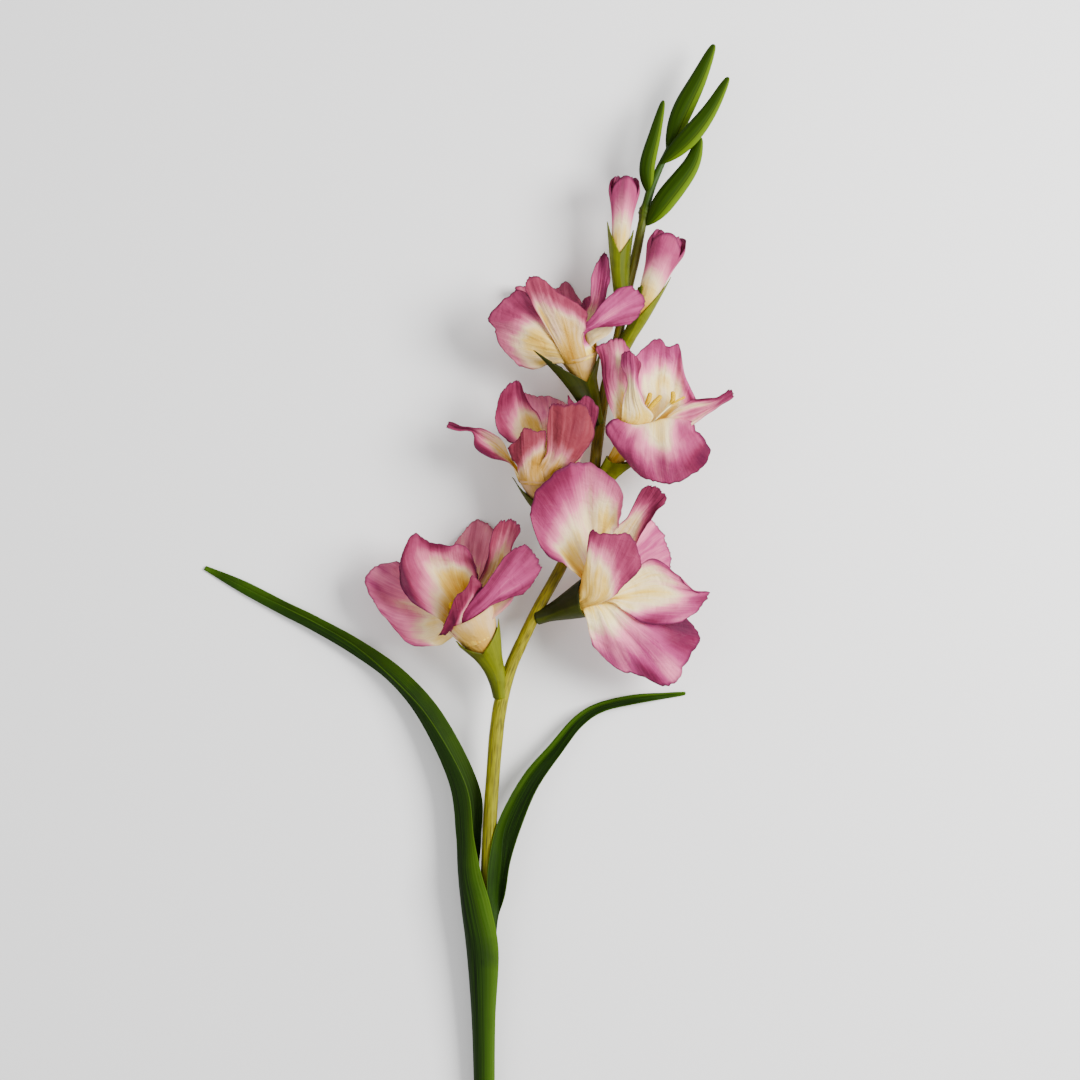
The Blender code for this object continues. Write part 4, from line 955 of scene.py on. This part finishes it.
for name, (foot_y, elbow, throat, bell, rim, ruffle, seed) in BLOOMS.items():
    path = tube_path(foot_y, elbow, throat)
    warm = max(tepal[-2][4] for tepal in TEPALS[name])
    work = bmesh.new()
    add_sheet(work, *TUBE_GRID, tube_bend(path, bell, rim), tube_tint(warm, seed / 10))
    for i, (*ribs, colouring, patches) in enumerate(TEPALS[name]):
        bend = tepal_bend(path, bell, ribs, ruffle, 10 * seed + i)
        add_sheet(work, *TEPAL_GRID, bend, tepal_tint(colouring, patches, seed / 10 + i / 7))
    make_piece(f"bloom_{name}_tepals", work, tepal_flesh, f"bloom_{name}", TEPAL_WALL)


# Bracts
# Two green valves grown together round the foot of each flower, leathery, with parallel ribs and a
# keel. The tips stand a little off the tube.
BRACT_WALL = 0.5
BRACT_ROOM = 1.6  # between the middle of the tube's wall and the middle of the bract's
BRACT_SLACK = 0.4  # how much nearer to the tube its pulled-out tips may come
BRACT_GRID = (72, 48)  # cells round and along
BRACT_RIBS, BRACT_RIB = 36, 0.07  # number and height of the ribs round a pair
BRACT_KEEL = (0.5, 0.03)  # height, and half width as a share of half the round

# Where the first valve points, how far up the tube the notch between the valves lies, the tips of
# the two valves as steps from the throat, and the tint of each: how olive, how much painted shade
BRACTS = {
    "lower_left": (
        (-1.0, -0.2, -0.25), 0.68, ((-5, -24, 7), (23, -9, -1)), ((0.75, 0.45), (0.9, 0.0)),
    ),
    "lower_right": (
        (0.0, 1.0, 0.2), 0.97, ((-4.5, 15.5, 0), (-2, -10.5, 0)), ((0.5, 0.9), (0.6, 0.7)),
    ),
    "middle_left": (
        (-1.0, 0.0, 0.2), 0.50, ((-21, -19, -2), (17, -22, -2)), ((0.7, 0.6), (0.7, 0.4)),
    ),
    "middle_right": (
        (-0.9, 0.6, 0.0), 0.50, ((-29, -24, -2), (-8, -27, -2)), ((1.0, 0.3), (1.0, 0.2)),
    ),
    "upper_left": (
        (-1.0, -0.1, 0.1), 0.52, ((-27, -12.5, 17), (15, -11, 0)), ((0.5, 0.85), (1.0, 0.25)),
    ),
}


def clear_of_tube(place, path, bell):
    """Moves points that lie in a tube's wall or inside it out to the room that a bract keeps.

    It looks at the tube from a third of its length to just below its throat, in 131 places.
    """
    s = np.linspace(0.3, 0.95, 131)
    away = place[:, None] - through(path, s)[:, :3]
    short = funnel(s, bell) + BRACT_ROOM - BRACT_SLACK - np.linalg.norm(away, axis=2)
    deepest = short.argmax(1)
    rows = np.arange(len(place))
    return place + np.maximum(0.0, short[rows, deepest])[:, None] * unit(away[rows, deepest])


def bract_bend(path, bell, towards, notch, tips):
    """Two pointed valves round the foot of a tube, with fine ribs and a keel on each."""
    top = np.array([notch, notch])
    feet = ring(path, top, np.array([0.0, math.pi]), funnel(top, bell) + BRACT_ROOM, towards)
    pull = np.array(path[2], float) + np.array(tips, float) - feet

    def bend(u, v):
        near = np.abs(v)
        s = notch * u
        close = np.minimum(1.0, u * TUBE_FOOT)
        keel, half = BRACT_KEEL
        ribs = BRACT_RIB * np.cos(BRACT_RIBS * math.pi * v)
        ribs = ribs + keel * np.exp(-(((near % 1.0) / half) ** 2))
        place = ring(path, s, math.pi * v, (funnel(s, bell) + BRACT_ROOM + ribs) * close, towards)
        share = np.abs(1.0 - 2.0 * near) ** 0.9 * u**1.8
        place = place + share[:, None] * np.where(near[:, None] < 0.5, pull[0], pull[1])
        return np.where((u > 0.3)[:, None], clear_of_tube(place, path, bell), place)

    return bend


def bract_tint(first, second):
    """How olive each of the two valves is, and how much painted shade darkens it."""

    def tint(u, v):
        side = smooth(np.abs(v), 0.46, 0.54)[:, None]
        shade = np.array(first) * (1 - side) + np.array(second) * side
        return np.concatenate([shade, np.zeros((len(u), 2))], 1)

    return tint


# The skin of a young bract, leathery and ribbed: olive green with paler ribs, worn brown in places
# and dark where it lies in shade, with a dull waxy gloss
BRACT_VEINS = (70.0, 3.0, 1.0)  # 0.6 mm wide and 17 mm long, on a pair of 45 by 50 mm
BRACT_WEAR = 90.0  # patches to the metre, so 11 mm each
bract_skin, tree, _, rib = start_skin("bract_skin", BRACT_VEINS)
tint = add(tree, "Attribute", attribute_name="tint")
own = add(tree, "SeparateColor", {0: tint.outputs["Color"]})
grass, olive, shade = linear("365404"), linear("5E6206"), linear("120F03")
green = add(tree, "Mix", {0: own.outputs[0], 6: grass, 7: olive}, data_type="RGBA")
skin = glaze(tree, green.outputs[2], linear("70740A"), rib, 0.45, 0.65, 0.45)
skin = glaze(tree, skin, linear("3A3606"), add_patches(tree, BRACT_WEAR), 0.5, 0.7, 0.5)
# Painted shade, as much as the tint attribute's second channel gives
dark = add(tree, "Mix", {0: own.outputs[1], 6: skin, 7: shade}, data_type="RGBA")
finish_skin(tree, dark.outputs[2], rib, 0.3, 0.0003, {
    "Roughness": 0.5, "Specular IOR Level": 0.1,
})


def make_bracts(name, path, bell, towards, notch, tips, shades):
    """The pair of valves round the foot of one flower or opening bud."""
    work = bmesh.new()
    bend = bract_bend(path, bell, towards, notch, tips)
    add_sheet(work, *BRACT_GRID, bend, bract_tint(*shades))
    make_piece(f"bracts_{name}_valves", work, bract_skin, f"bracts_{name}", BRACT_WALL)


for name, settings in BRACTS.items():
    foot_y, elbow, throat, bell, *_ = BLOOMS[name]
    make_bracts(name, tube_path(foot_y, elbow, throat), bell, *settings)


# Stamens
# Three pale filaments with powdery yellow anthers and a style with a thicker tip, all of soft
# tissue. They start inside the tube as one bundle and part below the throat.
STAMEN_GRID = (12, 40)  # cells round a filament and along it
STAMEN_FOOT, STAMEN_FORK = 0.47, 0.7  # shares of the tube where they start and where they part
BUNDLE_RADII = (1.4, 1.2)  # of the filaments together, in the middle and at the fork
ANTHER_RADII = (0.5, 0.45, 0.45, 0.4, 1.4, 1.8, 1.4)  # thin filament, then the thick anther
STYLE_RADII = (0.5, 0.5, 0.5, 0.5, 0.6, 0.8, 0.9)

# Base and end of each of the three anthers, then of the style's tip, as steps from the throat
STAMENS = {
    "lower_left": (
        ((-7, -3, 1), (-9, 3, 2)),
        ((-4, -1, 1), (-5, 6, 2)),
        ((-2, -2, 2), (-1, 4, 4)),
        ((-3, 1, 1), (-4, 8, 2)),
    ),
    "lower_right": (
        ((1, 2, 0), (3, 5, 0)),
        ((2, 1, 0), (5, 3, 0)),
        ((2, 3, 0), (5, 7, 0)),
        ((3, 2, 0), (7, 5, 0)),
    ),
    "middle_left": (
        ((-4, -7, 2), (-5, -1, 4)),
        ((0, -6, 2), (0, 1, 4)),
        ((4, -7, 2), (5, 0, 4)),
        ((1, -4, 2), (1, 3, 4)),
    ),
    "middle_right": (
        ((-1.5, 13, 4), (1.5, 21.5, 4)),
        ((-0.5, 9, 6), (9, 19.5, 6)),
        ((15.5, 14, 4), (17, 22.5, 4)),
        ((16, 13, 6), (25.5, 18.5, 4)),
    ),
    "upper_left": (
        ((-4, -6, 2), (-5, 0, 4)),
        ((-1, -5, 2), (-1, 2, 4)),
        ((2, -6, 2), (3, 0, 4)),
        ((0, -2, 2), (0, 5, 4)),
    ),
}


def rod_bend(path, radii):
    """A closed round rod along a path, with a radius for each of a few even stations."""

    def bend(u, v):
        radius = through(radii, u)[:, 0] * np.minimum(1.0, np.minimum(u, 1 - u) * 40)
        return ring(path, u, math.pi * v, radius, (0.1, 0.2, 1.0))

    return bend


# Pollen on an anther, a dry powder of grains: a deep yellow without any gloss. The filament below
# it is pale and smooth, so the anthers stand out of the cream throat.
POLLEN_GRAINS = 1800.0  # to the metre, so 0.6 mm each; the real ones are too fine to show
pollen_yellow, tree = start_material("pollen_yellow")
grain = add_patches(tree, POLLEN_GRAINS, 2.0)
dust = add(tree, "ValToRGB", {0: grain}, stops=((0.3, "9C7802"), (0.5, "C49A00"), (0.7, "DCB600")))
lay = add(tree, "UVMap", uv_map="lay")
side = add(tree, "SeparateXYZ", {0: lay.outputs[0]})
skin = glaze(tree, linear("FFF2B8"), dust.outputs[0], side.outputs[1], 0.62, 0.68, 1.0)
finish_skin(tree, skin, grain, 0.6, 0.0004, {"Roughness": 0.85, "Specular IOR Level": 0.1})

for name, tips in STAMENS.items():
    foot_y, elbow, throat, bell, *_ = BLOOMS[name]
    path = tube_path(foot_y, elbow, throat)
    axis = heading(path, np.array([0.9]))[0]
    foot, fork = through(path, np.array([STAMEN_FOOT, STAMEN_FORK]))
    work = bmesh.new()
    thick = float(funnel(STAMEN_FOOT, bell)) * 0.5
    bundle = np.array([foot, (foot + fork) / 2, fork])
    add_sheet(work, *STAMEN_GRID, rod_bend(bundle, (thick, *BUNDLE_RADII)))
    for k, (base, tip) in enumerate(tips):
        base, tip = np.array(throat) + np.array([base, tip], float)
        radii = STYLE_RADII if k == 3 else ANTHER_RADII
        rod = np.array([fork - axis * 2, (fork + base) / 2, base, tip])
        add_sheet(work, *STAMEN_GRID, rod_bend(rod, radii))
    make_piece(f"stamens_{name}_cluster", work, pollen_yellow, f"stamens_{name}")


# Opening buds
# Two buds that are about to open: three rolls of tepals, one in the other, stand out of the bracts
# as a pale tube with a mauve, lobed mouth. They have the tepals' flesh and the bracts' skin.
OPENING_WALL = 0.4
OPENING_GRID = (72, 60)  # cells round a roll and along it
OPENING_FOOT = 12.0  # one part in so many of a roll closes at its foot
OPENING_LOBES = 0.11  # depth of the notches between its three lobes, as a share of its length
OPENING_LIP = (0.93, 0.09)  # where along a roll its lip turns out most, and over what share
OPENING_CRUMPLE = 1.1  # height of the folds round its mouth
OPENING_WARMTH = 0.3

# For each roll its share of the width, its share of the lip, and how far its mouth shuts
OPENING_ROLLS = ((1.0, 1.0, 0.2), (0.84, 0.5, 0.3), (0.58, 0.0, 0.8))

# Foot on the stem, bend, throat, bell of the tube, how far the lip turns out, and a seed
OPENING_BUDS = {
    "left": (612.0, (94.0, 645.0, 37.0), (98.5, 705.0, 38.0), (9.5, 0.27), 2.4, 31),
    "right": (572.0, (108.0, 607.0, 36.0), (130.0, 665.0, 40.0), (12.3, 0.27), 3.2, 32),
}
OPENING_BRACTS = {
    "left": (
        (-1.0, 0.0, 0.0), 0.56, ((-12.5, -31.5, 0), (5, -37.5, 0)), ((0.75, 0.0), (0.6, 0.3)),
    ),
    "right": (
        (1.0, -0.5, 0.0), 0.50, ((-1, -30, 0), (-16, -37, 0)), ((0.9, 0.0), (0.7, 0.3)),
    ),
}


def opening_bend(path, bell, lip, shut, seed, turn):
    """Rolled tepals as one tube with a lobed mouth: how far it flares and shuts, and its turn."""

    def bend(u, v):
        lobes = np.abs(np.cos(1.5 * math.pi * v + turn)) ** 0.5
        s = u * (1 - OPENING_LOBES + OPENING_LOBES * lobes)
        close = np.minimum(1.0, u * OPENING_FOOT)
        top, spread = OPENING_LIP
        shoulder = lip * np.exp(-(((s - top) / spread) ** 2))
        shoulder = shoulder * (0.6 + 0.4 * np.cos(4 * math.pi * v + seed))
        inward = shut * funnel(s, bell) * smooth(s, 0.9, 1.0) * lobes
        pleat = 0.6 * np.maximum(0.0, s - 0.5) * np.cos(6 * math.pi * v)
        crumple = OPENING_CRUMPLE * wander(v / 2, seed, 9) * smooth(s, 0.7, 1.0)
        radius = funnel(s, bell) + shoulder - inward + pleat + crumple
        return ring(path, s, math.pi * v, radius * close)

    return bend


def opening_tint(warm, chance):
    """Cream below, mauve at the mouth."""

    def tint(u, v):
        blush = 0.15 + 0.1 * smooth(u, 0.45, 0.75) + 0.37 * smooth(u, 0.67, 0.95)
        return blush_tint(blush, warm, chance)

    return tint


for name, (foot_y, elbow, throat, bell, lip, seed) in OPENING_BUDS.items():
    path = tube_path(foot_y, elbow, throat)
    work = bmesh.new()
    for k, (share, flare, shut) in enumerate(OPENING_ROLLS):
        roll = (share * bell[0], bell[1])
        bend = opening_bend(path, roll, flare * lip, shut, seed + 4 * k, k * math.pi / 2)
        add_sheet(work, *OPENING_GRID, bend, opening_tint(OPENING_WARMTH, (seed + k) / 10))
    node = f"opening_bud_{name}"
    make_piece(f"{node}_tepals", work, tepal_flesh, node, OPENING_WALL)
    make_bracts(f"opening_{name}", path, bell, *OPENING_BRACTS[name])


# Green buds
# Four shut buds at the tip of the spike, each a pointed spindle of two green valves that grow out
# of the stem and still cover the flower.
BUD_GRID = (64, 60)  # cells round a bud and along it
BUD_KEEL = 0.08  # height of its two keels, as a share of the radius
BUD_STEP = 0.03  # how far the inner valve lies below the outer one
BUD_SEAM = 0.575  # where the line between the valves runs, from 0 to 1 round the bud

# Largest radius and flattening, then the axis from the stem to the tip
GREEN_BUDS = {
    "lower_right": (
        8.4, 0.75, (113, 671, 31), (127, 690, 34), (144, 713, 33), (151.2, 733.6, 28.5),
    ),
    "left": (6.0, 0.8, (114.5, 693, 29), (113.5, 712, 33), (119, 735, 34), (125, 759, 32)),
    "right": (7.4, 0.7, (123, 714, 33), (142, 732, 37), (157, 751, 37), (170.5, 775, 34)),
    "top": (8.0, 0.7, (127.5, 723, 29), (138, 751, 26), (150, 775, 26.5), (160.8, 799, 27)),
}


def bud_bend(path, radius, flat):
    """A spindle with a pointed tip, a low keel and fine ribs, along a bent axis."""

    def bend(u, v):
        s = (1 - np.cos(math.pi * u)) / 2
        angle = math.pi * v
        girth = radius * np.sin(math.pi * s**0.76).clip(0) ** (1.0 - 0.62 * s) * (1 - 0.2 * s)
        keel = 1.0 + BUD_KEEL * np.maximum(0.0, np.cos(2 * angle)) ** 6
        keel = keel + 0.003 * np.cos(30 * angle)
        keel = keel - BUD_STEP * smooth(np.abs(v - 0.3), 0.17, 0.13) * smooth(s, 0.1, 0.3)
        axis = heading(path, s)
        first = unit(np.array([0, 0, 1.0]) - axis[:, 2:] * axis)
        second = np.cross(axis, first)
        around = np.cos(angle)[:, None] * first * flat + np.sin(angle)[:, None] * second
        return through(path, s) + (girth * keel)[:, None] * around

    return bend


def bud_tint(u, v):
    """Painted light on a bud: yellow green, most along its right side, which faces the window light.
    """
    yellow = smooth(np.sin(math.pi * v), 0.1, 1.0) * smooth(u, 0.05, 0.3)
    return np.stack([yellow, 0 * u, 0 * u, 0 * u], 1)


# The skin of a shut bud, smooth and fresh with faint ribs: a fuller green than the bracts, with
# painted light in yellow green on its right side, nearly matt under its wax, with a fine dark line
# where the valves meet
BUD_RIBS = (60.0, 3.0, 1.0)  # 0.8 mm wide and 25 mm long, on a bud of 48 by 75 mm
bud_skin, tree, lay, rib = start_skin("bud_skin", BUD_RIBS)
tint = add(tree, "Attribute", attribute_name="tint")
own = add(tree, "SeparateColor", {0: tint.outputs["Color"]})
green = add(tree, "ValToRGB", {0: rib}, stops=((0.3, "182A02"), (0.52, "1F3302"), (0.74, "283F02")))
# Yellow green painted light for the bud's lit right side
yellow = linear("506806")
olive = add(tree, "Mix", {0: own.outputs[0], 6: green.outputs[0], 7: yellow}, data_type="RGBA")
side = add(tree, "SeparateXYZ", {0: lay})
apart = add(tree, "Math", {0: side.outputs[0], 1: BUD_SEAM}, operation="SUBTRACT")
gap = add(tree, "Math", {0: apart.outputs[0]}, operation="ABSOLUTE")
skin = glaze(tree, olive.outputs[2], linear("0C1602"), gap.outputs[0], 0.012, 0.003, 0.75)
finish_skin(tree, skin, rib, 0.3, 0.0003, {"Roughness": 0.7, "Specular IOR Level": 0.06})

for name, (radius, flat, *path) in GREEN_BUDS.items():
    work = bmesh.new()
    add_sheet(work, *BUD_GRID, bud_bend(np.array(path), radius, flat), bud_tint)
    make_piece(f"green_bud_{name}_valves", work, bud_skin, f"green_bud_{name}")
